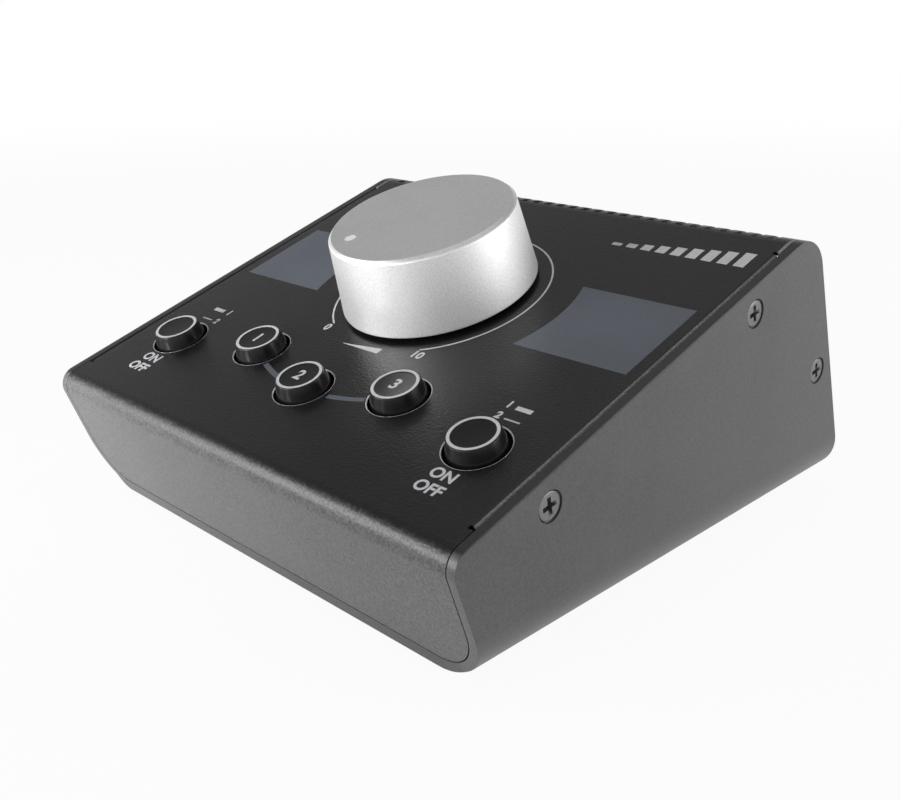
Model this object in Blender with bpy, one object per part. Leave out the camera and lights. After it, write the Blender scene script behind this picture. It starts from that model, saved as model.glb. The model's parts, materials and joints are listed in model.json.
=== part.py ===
"""Desktop studio monitor controller: a wedge case of bent sheet with one large knob and five buttons.

It can be run with blender --background --python part.py, or from the text editor. Lengths are in
metres. +Z is up, +X is to the user's right and +Y is to the rear. The origin lies on the desk,
under the middle of the case.

The side of the case is drawn in a plane of its own, with y to the rear and z above the case floor.
Three empties carry the pieces: panel_frame lies in the sloping panel, with +Y up the slope and +Z
out of the panel. rear_frame lies in the rear face, with +Y up the face and +Z out of it.
floor_frame lies in the underside of the case.
"""

import math

import bmesh
import bpy
from mathutils import Matrix, Vector

# Clearances
FIT_GAP = 0.0003
CUT_OVERRUN = 0.002
WELD = 1e-6

# Case shape
CASE_WIDTH = 0.135
BASE_DEPTH = 0.1304
FRONT_CORNER_HEIGHT = 0.0296
PANEL_SLOPE = math.radians(18.3)
FRONT_LEAN = math.radians(19.6)
REAR_LEAN = math.radians(20.8)
FRONT_BEND = 0.0042
REAR_BEND = 0.0098

# Base tray
TRAY_SHEET = 0.0021
TRAY_BEND = 0.0128

# Top cover
COVER_SHEET = 0.0010
FLANGE_DEPTH = 0.0124
FLANGE_BEND = 0.0014
FLANGE_CHAMFER = 0.002
NOTCH_LENGTH = 0.0009
TOP_FLANGE_FRONT = 0.0092
TOP_FLANGE_REAR = 0.0140
REAR_FLANGE_TOP = 0.0140
REAR_FLANGE_RISE = 0.0142
HOLE_EDGE_BREAK = 0.0002

# Vents along the rear bend
VENT_PITCH = 0.0040
VENT_WIDTH = 0.0021
VENT_MARGIN = 0.0040
VENT_START_ANGLE = math.radians(8.0)
VENT_REAR_RUN = 0.0035

# Side screws
SCREW_INSET = 0.0062
FRONT_SCREW_UP = 0.0243
REAR_SCREW_BACK = 0.0282
LOW_SCREW_DROP = 0.0349
SCREW_HEAD_RADIUS = 0.0029
SCREW_HEAD_HEIGHT = 0.0015
SCREW_SHANK_RADIUS = 0.0015
SCREW_LENGTH = 0.0064
CROSS_LENGTH = 0.0032
CROSS_WIDTH = 0.0007
CROSS_DEPTH = 0.0009

# Volume knob
KNOB_UP_SLOPE = 0.0685
KNOB_LIFT = 0.0011
KNOB_HEIGHT = 0.0182
KNOB_BASE_RADIUS = 0.0234
KNOB_TOP_RADIUS = 0.0219
KNOB_CHAMFER = 0.0008
KNOB_WALL = 0.0024
KNOB_CROWN = 0.0030
KNOB_HUB_RADIUS = 0.0082
KNOB_HUB_LIFT = 0.0045
DIMPLE_RADIUS = 0.0014
DIMPLE_DEPTH = 0.0005
DIMPLE_FROM_AXIS = 0.0168
REST_ANGLE = math.radians(-122.0)
INSERT_RADIUS = 0.0052
INSERT_FLANGE_RADIUS = 0.0068
INSERT_FLANGE = 0.0010

# Volume potentiometer
SHAFT_RADIUS = 0.0030
SHAFT_FLAT = 0.0015
SHAFT_TIP_GAP = 0.0010
ROTOR_RADIUS = 0.0066
ROTOR_THICKNESS = 0.0018
BUSHING_RADIUS = 0.0045
BUSHING_STANDS = 0.0041
POT_RADIUS = 0.0083
POT_PLATE = 0.0015
POT_WALL = 0.0008
POT_ROTOR_DROP = 0.0012
WAFER_THICKNESS = 0.0010
POT_NUT_ACROSS_FLATS = 0.0120
POT_NUT_THICKNESS = 0.0020
POT_WASHER_RADIUS = 0.0066
WASHER_THICKNESS = 0.0006

# Push buttons and their switches
BUTTON_HOLE_RADIUS = 0.00675
BUTTON_BASE_RADIUS = 0.0061
BUTTON_TOP_RADIUS = 0.0054
BUTTON_STANDS = 0.0031
BUTTON_SKIRT = 0.0026
BUTTON_EDGE = 0.0003
BUTTON_WALL = 0.0011
BUTTON_BOSS_RADIUS = 0.0033
BUTTON_TRAVEL = 0.0025
OUTER_BUTTON_INSET = 0.0151
OUTER_BUTTON_UP = 0.0260
MIDDLE_BUTTON_X = 0.0234
MIDDLE_BUTTON_UP = 0.0314
FRONT_BUTTON_UP = 0.0249
PLUNGER_WIDTH = 0.0026
PLUNGER_COLLAR_WIDTH = 0.0044
PLUNGER_COLLAR = 0.0010
SWITCH_WIDTH = 0.0085
SWITCH_WALL = 0.0015
SWITCH_TOP = 0.0008
SWITCH_BASE = 0.0010
SWITCH_CLEARANCE = 0.0005
SPRING_RADIUS = 0.0016
SPRING_WIRE_RADIUS = 0.0002
SPRING_TURNS = 3

# Control board
BOARD_SHEET = 0.0016
BOARD_DEPTH = 0.0141
BOARD_EDGE = 0.0071
BOARD_FRONT = 0.0140
BOARD_CORNER = 0.0020
STANDOFF_ACROSS_FLATS = 0.0055
STANDOFF_INSET = 0.0050
FRONT_STANDOFF_X = 0.0360
BOARD_SCREW_HEAD_RADIUS = 0.0027
BOARD_SCREW_HEAD = 0.0019

# Jacks on the rear face
JACK_SIDE_INSET = 0.0201
JACK_TOP_DROP = 0.0225
JACK_LOW_RISE = 0.0237
JACK_BODY_WIDTH = 0.0156
JACK_BODY_DEPTH = 0.0220
JACK_NOSE_RADIUS = 0.0050
JACK_NOSE_STANDS = 0.0036
JACK_BORE_RADIUS = 0.0035
JACK_BACK_WALL = 0.0015
JACK_NUT_ACROSS_FLATS = 0.0130
JACK_NUT_THICKNESS = 0.0022
JACK_CHAMFER = 0.0005
JACK_BOARD_TOP = 0.0130
JACK_BOARD_RISE = 0.0132

# Ribbon cable
HEADER_LENGTH = 0.0230
HEADER_WIDTH = 0.0060
HEADER_HEIGHT = 0.0050
HEADER_REAR_INSET = 0.0090
RIBBON_WIDTH = 0.0200
RIBBON_THICKNESS = 0.0009
RIBBON_STUB = 0.0080

# Feet
FOOT_HEIGHT = 0.0020
FOOT_RADIUS = 0.0063
FOOT_BASE_RADIUS = 0.0060
FOOT_INSET_X = 0.0260
FOOT_INSET_Y = 0.0180

# Counts
BEND_STEPS = 6
FLANGE_STEPS = 3
KNOB_STEPS = 60
BUTTON_STEPS = 24
ROUND_STEPS = 18
JACK_STEPS = 16
SMALL_STEPS = 12
HEX_SIDES = 6
EDGE_STEPS = 2
SPRING_POINTS_PER_TURN = 8
RIBBON_STEPS = 10
JACK_COLUMNS = 4
JACK_ROWS = 2

# Edges that meet at a wider angle are shown sharp
SHARP_ANGLE = math.radians(30.0)

# Colour, roughness and metallic value of each finish
FINISHES = {
    "powder_coat": ((0.055, 0.055, 0.058), 0.55, 0.0),
    "panel_coat": ((0.040, 0.040, 0.042), 0.50, 0.0),
    "satin_aluminium": ((0.78, 0.78, 0.79), 0.35, 1.0),
    "gloss_black": ((0.012, 0.012, 0.013), 0.22, 0.0),
    "black_plastic": ((0.030, 0.030, 0.032), 0.45, 0.0),
    "grey_plastic": ((0.60, 0.60, 0.58), 0.50, 0.0),
    "black_zinc": ((0.045, 0.045, 0.045), 0.35, 0.8),
    "bright_steel": ((0.62, 0.62, 0.62), 0.30, 1.0),
    "spring_steel": ((0.50, 0.50, 0.52), 0.28, 1.0),
    "track_brown": ((0.22, 0.12, 0.06), 0.60, 0.0),
    "board_green": ((0.020, 0.110, 0.050), 0.45, 0.0),
    "ribbon_grey": ((0.42, 0.42, 0.44), 0.55, 0.0),
    "foot_rubber": ((0.018, 0.018, 0.018), 0.85, 0.0),
}

SIDES = (("left", -1), ("right", 1))
BUTTON_NAMES = ("source", "mono", "mute", "dim", "monitor")
JACK_NAMES = (
    "input_a_left_jack",
    "input_a_right_jack",
    "input_b_left_jack",
    "input_b_right_jack",
    "output_a_left_jack",
    "output_a_right_jack",
    "output_b_left_jack",
    "output_b_right_jack",
)


# Side profile of the case

SLOPE_DIRECTION = Vector((math.cos(PANEL_SLOPE), math.sin(PANEL_SLOPE)))
SLOPE_NORMAL = Vector((-math.sin(PANEL_SLOPE), math.cos(PANEL_SLOPE)))
FRONT_DIRECTION = Vector((-math.sin(FRONT_LEAN), math.cos(FRONT_LEAN)))
REAR_DIRECTION = Vector((math.sin(REAR_LEAN), -math.cos(REAR_LEAN)))
REAR_NORMAL = Vector((math.cos(REAR_LEAN), math.sin(REAR_LEAN)))


def crossing(point, direction, other, other_direction):
    """The point where two lines of the side profile meet."""
    gap = other - point
    turn = direction.x * other_direction.y - direction.y * other_direction.x
    along = (gap.x * other_direction.y - gap.y * other_direction.x) / turn
    return point + direction * along


FRONT_FOOT = Vector((0.0, TRAY_SHEET))
REAR_FOOT = Vector((BASE_DEPTH, TRAY_SHEET))
FRONT_CORNER = FRONT_FOOT + FRONT_DIRECTION * ((FRONT_CORNER_HEIGHT - TRAY_SHEET) / FRONT_DIRECTION.y)
REAR_CORNER = crossing(FRONT_CORNER, SLOPE_DIRECTION, REAR_FOOT, REAR_DIRECTION)
SLOPE_LENGTH = (REAR_CORNER - FRONT_CORNER).length
REAR_LENGTH = (REAR_FOOT - REAR_CORNER).length
FRONT_LENGTH = (FRONT_CORNER - FRONT_FOOT).length


def rounded_corner(corner, arriving, leaving, radius):
    """Centre, tangent length and turn of a round corner between two directions of the profile."""
    turn = arriving.angle(leaving)
    tangent = radius * math.tan(turn / 2)
    inward = Vector((arriving.y, -arriving.x))
    centre = corner - arriving * tangent + inward * radius
    return centre, tangent, turn


def corner_arc(corner, arriving, leaving, radius, steps):
    """Points of the round corner, from where it is arrived at to where it is left."""
    centre, tangent, turn = rounded_corner(corner, arriving, leaving, radius)
    spoke = corner - arriving * tangent - centre
    points = []
    for step in range(steps + 1):
        points.append(centre + Matrix.Rotation(-turn * step / steps, 2) @ spoke)
    return points


FRONT_ARC = corner_arc(FRONT_CORNER, FRONT_DIRECTION, SLOPE_DIRECTION, FRONT_BEND, BEND_STEPS)
REAR_ARC = corner_arc(REAR_CORNER, SLOPE_DIRECTION, REAR_DIRECTION, REAR_BEND, BEND_STEPS)
FRONT_TANGENT = rounded_corner(FRONT_CORNER, FRONT_DIRECTION, SLOPE_DIRECTION, FRONT_BEND)[1]
REAR_CENTRE, REAR_TANGENT, REAR_TURN = rounded_corner(
    REAR_CORNER, SLOPE_DIRECTION, REAR_DIRECTION, REAR_BEND
)

# The frame's origin: under the middle of the case, on the desk
FRONT_REACH = min(point.x for point in FRONT_ARC)
MIDDLE_Y = (FRONT_REACH + BASE_DEPTH) / 2
FLOOR_Z = FOOT_HEIGHT + FIT_GAP

# Sizes that follow from the ones above
TRAY_HALF = CASE_WIDTH / 2
PANEL_HALF = TRAY_HALF - TRAY_SHEET - FIT_GAP
FLANGE_LINE = PANEL_HALF - FLANGE_BEND
SWITCH_CEILING = BUTTON_SKIRT + BUTTON_TRAVEL + SWITCH_CLEARANCE
BOARD_REAR = SLOPE_LENGTH - COVER_SHEET - JACK_BODY_DEPTH - BOARD_SHEET - HEADER_HEIGHT
JACK_BOARD_DEPTH = COVER_SHEET + JACK_BODY_DEPTH + FIT_GAP + FIT_GAP
UNDERSIDE = BOARD_DEPTH + BOARD_SHEET
JACK_HOLE_RADIUS = JACK_NOSE_RADIUS + FIT_GAP
JACK_COLUMN_PITCH = (PANEL_HALF - JACK_SIDE_INSET) * 2 / (JACK_COLUMNS - 1)
JACK_ROW_PITCH = (REAR_LENGTH - JACK_TOP_DROP - JACK_LOW_RISE) / (JACK_ROWS - 1)
JACK_HEADER_DROP = JACK_TOP_DROP + JACK_ROW_PITCH * (JACK_ROWS - 1) / 2


def clear_scene():
    """Remove every object that the scene starts with."""
    for found in list(bpy.data.objects):
        bpy.data.objects.remove(found, do_unlink=True)


def finish(name):
    """The material of one finish, made when it is first asked for."""
    if name in bpy.data.materials:
        return bpy.data.materials[name]
    colour, roughness, metallic = FINISHES[name]
    made = bpy.data.materials.new(name)
    made.use_nodes = True
    shader = made.node_tree.nodes["Principled BSDF"]
    shader.inputs["Base Color"].default_value = (*colour, 1.0)
    shader.inputs["Roughness"].default_value = roughness
    shader.inputs["Metallic"].default_value = metallic
    return made


def frame(name, place, x_axis, y_axis, z_axis):
    """An empty whose axes carry the pieces of one face of the case."""
    empty = bpy.data.objects.new(name, None)
    bpy.context.scene.collection.objects.link(empty)
    turn = Matrix((x_axis, y_axis, z_axis)).transposed().to_4x4()
    empty.matrix_world = Matrix.Translation(place) @ turn
    return empty


def case_point(x, point):
    """A point of the side profile, at x, in world coordinates."""
    return Vector((x, point.x - MIDDLE_Y, point.y + FLOOR_Z))


def add_piece(name, bm, finish_name, parent=None, place=(0, 0, 0), turn=0.0):
    """A named object with one finish, set on its parent by place and by a turn about local Z."""
    bmesh.ops.remove_doubles(bm, verts=bm.verts, dist=WELD)
    mesh = bpy.data.meshes.new(name)
    bm.to_mesh(mesh)
    bm.free()
    mesh.materials.append(finish(finish_name))
    mesh.shade_smooth()
    mesh.set_sharp_from_angle(angle=SHARP_ANGLE)
    piece = bpy.data.objects.new(name, mesh)
    bpy.context.scene.collection.objects.link(piece)
    piece.parent = parent
    piece.location = place
    piece.rotation_euler = (0, 0, turn)
    return piece


def add_cutter(name, bm, parent=None, place=(0, 0, 0), turn=0.0):
    """A hidden helper that cuts or joins another piece."""
    cutter = add_piece(name, bm, "grey_plastic", parent, place, turn)
    cutter.hide_render = True
    cutter.display_type = "WIRE"
    return cutter


def combine(piece, other, operation):
    """A Boolean of a piece with a hidden helper."""
    boolean = piece.modifiers.new(f"{operation.lower()}_{other.name}", "BOOLEAN")
    boolean.operation = operation
    boolean.solver = "EXACT"
    boolean.object = other


def prism(bm, outline, low, high, place=None):
    """A closed prism on an outline that runs anticlockwise in X and Y, from low to high in Z."""
    place = place or Matrix.Identity(4)
    bottom = [bm.verts.new(place @ Vector((x, y, low))) for x, y in outline]
    top = [bm.verts.new(place @ Vector((x, y, high))) for x, y in outline]
    bm.faces.new(list(reversed(bottom)))
    bm.faces.new(top)
    count = len(outline)
    for index in range(count):
        after = (index + 1) % count
        bm.faces.new((bottom[index], bottom[after], top[after], top[index]))


def turned(bm, profile, steps, place=None):
    """A solid of revolution about Z. The profile of (radius, z) runs anticlockwise, solid on its left."""
    place = place or Matrix.Identity(4)
    rings = []
    for radius, z in profile:
        if radius == 0:
            rings.append([bm.verts.new(place @ Vector((0, 0, z)))])
            continue
        ring = []
        for step in range(steps):
            angle = math.tau * step / steps
            point = Vector((radius * math.cos(angle), radius * math.sin(angle), z))
            ring.append(bm.verts.new(place @ point))
        rings.append(ring)
    for ring, following in zip(rings, rings[1:] + rings[:1]):
        for step in range(steps):
            after = (step + 1) % steps
            corners = [ring[step % len(ring)], ring[after % len(ring)]]
            corners += [following[after % len(following)], following[step % len(following)]]
            distinct = list(dict.fromkeys(corners))
            if len(distinct) > 2:
                bm.faces.new(distinct)


def rounded_edge(radius, top, size):
    """Points of a profile's round edge, from the side of a turned piece to its top face."""
    angles = [math.pi / 2 * step / EDGE_STEPS for step in range(EDGE_STEPS + 1)]
    return [(radius - size * (1 - math.cos(turn)), top - size * (1 - math.sin(turn))) for turn in angles]


def rectangle(x_low, x_high, y_low, y_high):
    """A rectangle's outline."""
    return [(x_low, y_low), (x_high, y_low), (x_high, y_high), (x_low, y_high)]


def square(width, x=0.0, y=0.0):
    """A square's outline about a point."""
    half = width / 2
    return rectangle(x - half, x + half, y - half, y + half)


def polygon(across_flats, sides, x=0.0, y=0.0):
    """A regular outline with flat sides, such as a hexagon, about a point."""
    radius = across_flats / 2 / math.cos(math.pi / sides)
    angles = [math.tau * (step + 1 / 2) / sides for step in range(sides)]
    return [(x + radius * math.cos(angle), y + radius * math.sin(angle)) for angle in angles]


def rounded_rectangle(x_low, x_high, y_low, y_high, radius):
    """A rectangle's outline with round corners."""
    outline = []
    corners = (
        (x_high - radius, y_low + radius),
        (x_high - radius, y_high - radius),
        (x_low + radius, y_high - radius),
        (x_low + radius, y_low + radius),
    )
    for corner, (x, y) in enumerate(corners):
        for step in range(EDGE_STEPS + 1):
            angle = math.pi / 2 * (corner - 1 + step / EDGE_STEPS)
            outline.append((x + radius * math.cos(angle), y + radius * math.sin(angle)))
    return outline


def disc(bm, radius, low, high, steps, x=0.0, y=0.0):
    """A plain cylinder about a line parallel to Z."""
    profile = [(0, low), (radius, low), (radius, high), (0, high)]
    turned(bm, profile, steps, Matrix.Translation((x, y, 0)))


def side_place(sign):
    """Turns local Z to point out of one side of the case, with local X to the rear."""
    return Matrix(((0, 0, sign, 0), (1, 0, 0, 0), (0, sign, 0, 0), (0, 0, 0, 1)))


def screw_places():
    """The six side screws by name, with their places in world coordinates, local Z out of the case."""
    inset = SLOPE_NORMAL * SCREW_INSET
    points = {
        "front": FRONT_CORNER + SLOPE_DIRECTION * FRONT_SCREW_UP - inset,
        "rear": REAR_CORNER - SLOPE_DIRECTION * REAR_SCREW_BACK - inset,
        "low": REAR_CORNER + REAR_DIRECTION * LOW_SCREW_DROP - REAR_NORMAL * SCREW_INSET,
    }
    places = {}
    for where, point in points.items():
        for side, sign in SIDES:
            shift = Matrix.Translation(case_point(sign * TRAY_HALF, point))
            places[f"side_screw_{where}_{side}"] = shift @ side_place(sign)
    return places


def countersunk(bm, place, gap):
    """A countersunk screw's outline about local Z, its head's top at zero, grown by a gap."""
    top = CUT_OVERRUN if gap else 0
    head = SCREW_HEAD_RADIUS + gap
    shank = SCREW_SHANK_RADIUS + gap
    neck = -SCREW_HEAD_HEIGHT
    tip = -SCREW_LENGTH - (CUT_OVERRUN if gap else 0)
    profile = [(0, tip), (shank, tip), (shank, neck), (head, -gap), (head, top), (0, top)]
    if not gap:
        profile.pop(3)
    turned(bm, profile, SMALL_STEPS, place)


def build_tray():
    """The floor and the two sides, one sheet with two large bends, trimmed to the side profile."""
    outer, inner = TRAY_HALF, TRAY_HALF - TRAY_SHEET
    centre_x = TRAY_HALF - TRAY_BEND
    rim = REAR_CORNER.y + CUT_OVERRUN
    angles = [math.pi / 2 * step / BEND_STEPS for step in range(BEND_STEPS + 1)]

    def bend(radius):
        return [
            (centre_x + radius * math.sin(angle), TRAY_BEND - radius * math.cos(angle)) for angle in angles
        ]

    outside = bend(TRAY_BEND) + [(outer, rim)]
    inside = [(inner, rim)] + list(reversed(bend(TRAY_BEND - TRAY_SHEET)))
    right = outside + inside
    left = [(-x, z) for x, z in reversed(right)]
    section = right + left
    bm = bmesh.new()
    upright = Matrix(((1, 0, 0, 0), (0, 0, -1, 0), (0, 1, 0, FLOOR_Z), (0, 0, 0, 1)))
    prism(bm, section, MIDDLE_Y - BASE_DEPTH - CUT_OVERRUN, MIDDLE_Y - FRONT_REACH + CUT_OVERRUN, upright)
    tray = add_piece("base_tray", bm, "powder_coat")

    bm = bmesh.new()
    lip = [Vector((0.0, 0.0)), Vector((BASE_DEPTH, 0.0)), REAR_FOOT]
    outline = lip + list(reversed(REAR_ARC)) + list(reversed(FRONT_ARC)) + [FRONT_FOOT]
    sideways = Matrix(((0, 0, 1, 0), (1, 0, 0, -MIDDLE_Y), (0, 1, 0, FLOOR_Z), (0, 0, 0, 1)))
    reach = TRAY_HALF + CUT_OVERRUN
    prism(bm, [tuple(point) for point in outline], -reach, reach, sideways)
    combine(tray, add_cutter("tray_side_outline", bm), "INTERSECT")

    bm = bmesh.new()
    for place in screw_places().values():
        countersunk(bm, place, FIT_GAP)
    combine(tray, add_cutter("tray_screw_holes", bm), "DIFFERENCE")


def sheet_face(bm, loop):
    """One face of the cover's outer surface."""
    bm.faces.new([bm.verts.new(point) for point in loop])


def panel_outline(start, end, flange=None, corner=0.0, lean=0.0):
    """Right half of a flat panel's outline as (x, distance), with notches beside its flange."""
    points = [(PANEL_HALF, start)]
    if flange:
        first, last = flange
        points += [(PANEL_HALF, first - NOTCH_LENGTH), (FLANGE_LINE, first - NOTCH_LENGTH)]
        points += [(FLANGE_LINE, first), (FLANGE_LINE, last), (FLANGE_LINE, last + NOTCH_LENGTH)]
        points += [(PANEL_HALF, last + NOTCH_LENGTH)]
    if not corner:
        return points + [(PANEL_HALF, end)]
    for step in range(BEND_STEPS + 1):
        angle = math.pi / 2 * step / BEND_STEPS
        rise = corner * (1 - math.sin(angle))
        points.append((PANEL_HALF - corner * (1 - math.cos(angle)), end - rise / math.cos(lean)))
    return points


def flat_panel(bm, origin, along, half_outline):
    """A flat n-sided face from the right half of its outline."""
    loop = half_outline + [(-x, distance) for x, distance in reversed(half_outline)]
    sheet_face(bm, [case_point(x, origin + along * distance) for x, distance in loop])


def flanges(bm, origin, along, normal, first, last):
    """The two flanges of a panel, each a small bend and a flat with chamfered corners."""
    bend = []
    for step in range(FLANGE_STEPS + 1):
        angle = math.pi / 2 * step / FLANGE_STEPS
        bend.append((FLANGE_LINE + FLANGE_BEND * math.sin(angle), FLANGE_BEND * (1 - math.cos(angle))))
    loops = []
    for near, far in zip(bend, bend[1:]):
        loops.append([(*near, first), (*far, first), (*far, last), (*near, last)])
    edge = FLANGE_DEPTH - FLANGE_CHAMFER
    flat = [
        (FLANGE_BEND, first),
        (edge, first),
        (FLANGE_DEPTH, first + FLANGE_CHAMFER),
        (FLANGE_DEPTH, last - FLANGE_CHAMFER),
        (edge, last),
        (FLANGE_BEND, last),
    ]
    loops.append([(PANEL_HALF, depth, distance) for depth, distance in flat])
    for _, sign in SIDES:
        for loop in loops:
            points = []
            for side, depth, distance in loop[::sign]:
                points.append(case_point(sign * side, origin + along * distance - normal * depth))
            sheet_face(bm, points)


def build_cover():
    """Front face, panel and rear face: one sheet, folded, with its flanges, holes and vents."""
    bm = bmesh.new()
    nest = TRAY_BEND - TRAY_SHEET - FIT_GAP
    front_low = FIT_GAP / math.cos(FRONT_LEAN)
    rear_low = (FIT_GAP + COVER_SHEET * math.sin(REAR_LEAN)) / math.cos(REAR_LEAN)

    front = panel_outline(FRONT_TANGENT, FRONT_LENGTH - front_low, corner=nest, lean=FRONT_LEAN)
    front = [(-x, distance) for x, distance in front]
    flat_panel(bm, FRONT_CORNER, -FRONT_DIRECTION, front)

    top_flange = (TOP_FLANGE_FRONT, SLOPE_LENGTH - TOP_FLANGE_REAR)
    panel = panel_outline(FRONT_TANGENT, SLOPE_LENGTH - REAR_TANGENT, flange=top_flange)
    flat_panel(bm, FRONT_CORNER, SLOPE_DIRECTION, panel)
    flanges(bm, FRONT_CORNER, SLOPE_DIRECTION, SLOPE_NORMAL, *top_flange)

    rear_flange = (REAR_FLANGE_TOP, REAR_LENGTH - REAR_FLANGE_RISE)
    rear = panel_outline(REAR_TANGENT, REAR_LENGTH - rear_low, rear_flange, nest, REAR_LEAN)
    flat_panel(bm, REAR_CORNER, REAR_DIRECTION, rear)
    flanges(bm, REAR_CORNER, REAR_DIRECTION, REAR_NORMAL, *rear_flange)

    for arc in (FRONT_ARC, REAR_ARC):
        for point, following in zip(arc, arc[1:]):
            right = [case_point(PANEL_HALF, point), case_point(PANEL_HALF, following)]
            left = [case_point(-PANEL_HALF, following), case_point(-PANEL_HALF, point)]
            sheet_face(bm, right + left)

    cover = add_piece("top_cover", bm, "panel_coat")
    sheet = cover.modifiers.new("sheet", "SOLIDIFY")
    sheet.thickness = COVER_SHEET
    sheet.offset = -1
    sheet.use_even_offset = True
    return cover


def cut_cover(cover, panel_frame, rear_frame):
    """The cover's holes, vents and screw holes."""
    inside = -COVER_SHEET - CUT_OVERRUN
    bm = bmesh.new()
    for x, y in button_places():
        wide = BUTTON_HOLE_RADIUS + HOLE_EDGE_BREAK + CUT_OVERRUN
        profile = [
            (0, inside),
            (BUTTON_HOLE_RADIUS, inside),
            (BUTTON_HOLE_RADIUS, -HOLE_EDGE_BREAK),
            (wide, CUT_OVERRUN),
            (0, CUT_OVERRUN),
        ]
        turned(bm, profile, BUTTON_STEPS, Matrix.Translation((x, y, 0)))
    disc(bm, BUSHING_RADIUS + FIT_GAP, inside, CUT_OVERRUN, ROUND_STEPS, y=KNOB_UP_SLOPE)
    combine(cover, add_cutter("panel_holes", bm, panel_frame), "DIFFERENCE")

    bm = bmesh.new()
    for x, y in jack_places():
        disc(bm, JACK_HOLE_RADIUS, inside, CUT_OVERRUN, JACK_STEPS, x, y)
    combine(cover, add_cutter("jack_holes", bm, rear_frame), "DIFFERENCE")

    bm = bmesh.new()
    hole = SCREW_SHANK_RADIUS + FIT_GAP
    for place in screw_places().values():
        turned(bm, [(0, -SCREW_LENGTH), (hole, -SCREW_LENGTH), (hole, 0), (0, 0)], SMALL_STEPS, place)
    combine(cover, add_cutter("flange_screw_holes", bm), "DIFFERENCE")

    bm = bmesh.new()
    for x in vent_places():
        vent(bm, x)
    combine(cover, add_cutter("vent_slots", bm), "DIFFERENCE")


def vent_places():
    """Middles of the vents, on a fixed pitch about the middle of the case."""
    each_side = int((PANEL_HALF - VENT_MARGIN) / VENT_PITCH)
    return [VENT_PITCH * step for step in range(-each_side, each_side + 1)]


def vent(bm, x):
    """One slot's cutter: a strip that follows the rear bend and runs a little down the rear face."""
    outline = []
    for radius in (REAR_BEND - COVER_SHEET - CUT_OVERRUN, REAR_BEND + CUT_OVERRUN):
        strip = []
        for step in range(BEND_STEPS + 1):
            angle = VENT_START_ANGLE + (REAR_TURN - VENT_START_ANGLE) * step / BEND_STEPS
            strip.append(REAR_CENTRE + Matrix.Rotation(-angle, 2) @ SLOPE_NORMAL * radius)
        strip.append(strip[-1] + REAR_DIRECTION * VENT_REAR_RUN)
        outline.append(strip)
    inner, outer = outline
    loop = [tuple(point) for point in inner + list(reversed(outer))]
    sideways = Matrix(((0, 0, 1, x), (1, 0, 0, -MIDDLE_Y), (0, 1, 0, FLOOR_Z), (0, 0, 0, 1)))
    prism(bm, loop, -VENT_WIDTH / 2, VENT_WIDTH / 2, sideways)


def build_side_screws():
    """Six countersunk cross-head screws."""
    arm, half = CROSS_LENGTH / 2, CROSS_WIDTH / 2
    quarter = [(half, -arm), (half, -half), (arm, -half)]
    cross = []
    for turn in range(4):
        spin = Matrix.Rotation(math.pi / 2 * turn, 2)
        cross += [tuple(spin @ Vector(point)) for point in quarter]
    for name, place in screw_places().items():
        bm = bmesh.new()
        countersunk(bm, Matrix.Identity(4), 0)
        screw = add_piece(name, bm, "black_zinc")
        screw.matrix_world = place
        bm = bmesh.new()
        prism(bm, cross, -CROSS_DEPTH, CUT_OVERRUN)
        recess = add_cutter(f"{name}_recess", bm)
        recess.matrix_world = place
        combine(screw, recess, "DIFFERENCE")


def build_knob(panel_frame):
    """The turned aluminium knob, hollow below, with a hub for its insert and a dimple on top."""
    place = (0, KNOB_UP_SLOPE, 0)
    low, high = KNOB_LIFT, KNOB_LIFT + KNOB_HEIGHT
    ceiling = high - KNOB_CROWN
    bore = INSERT_RADIUS + FIT_GAP
    inner_base = KNOB_BASE_RADIUS - KNOB_WALL
    inner_top = KNOB_TOP_RADIUS - KNOB_WALL
    profile = [
        (0, ceiling),
        (bore, ceiling),
        (bore, KNOB_HUB_LIFT + INSERT_FLANGE),
        (KNOB_HUB_RADIUS, KNOB_HUB_LIFT + INSERT_FLANGE),
        (KNOB_HUB_RADIUS, ceiling),
        (inner_top, ceiling),
        (inner_base, low),
        (KNOB_BASE_RADIUS, low),
        *rounded_edge(KNOB_TOP_RADIUS, high, KNOB_CHAMFER),
        (0, high),
    ]
    bm = bmesh.new()
    turned(bm, profile, KNOB_STEPS)
    knob = add_piece("volume_knob", bm, "satin_aluminium", panel_frame, place, REST_ANGLE)
    ball = (DIMPLE_RADIUS**2 + DIMPLE_DEPTH**2) / (2 * DIMPLE_DEPTH)
    bm = bmesh.new()
    centre = Matrix.Translation((DIMPLE_FROM_AXIS, 0, high + ball - DIMPLE_DEPTH))
    bmesh.ops.create_icosphere(bm, subdivisions=2, radius=ball, matrix=centre)
    combine(knob, add_cutter("dimple", bm, panel_frame, place, REST_ANGLE), "DIFFERENCE")


def d_outline(radius, flat):
    """The outline of a shaft with one flat on its -X side."""
    start = math.acos((radius - flat) / radius)
    span = math.tau - 2 * start
    angles = [math.pi + start + span * step / ROUND_STEPS for step in range(ROUND_STEPS + 1)]
    return [(radius * math.cos(angle), radius * math.sin(angle)) for angle in angles]


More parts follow.
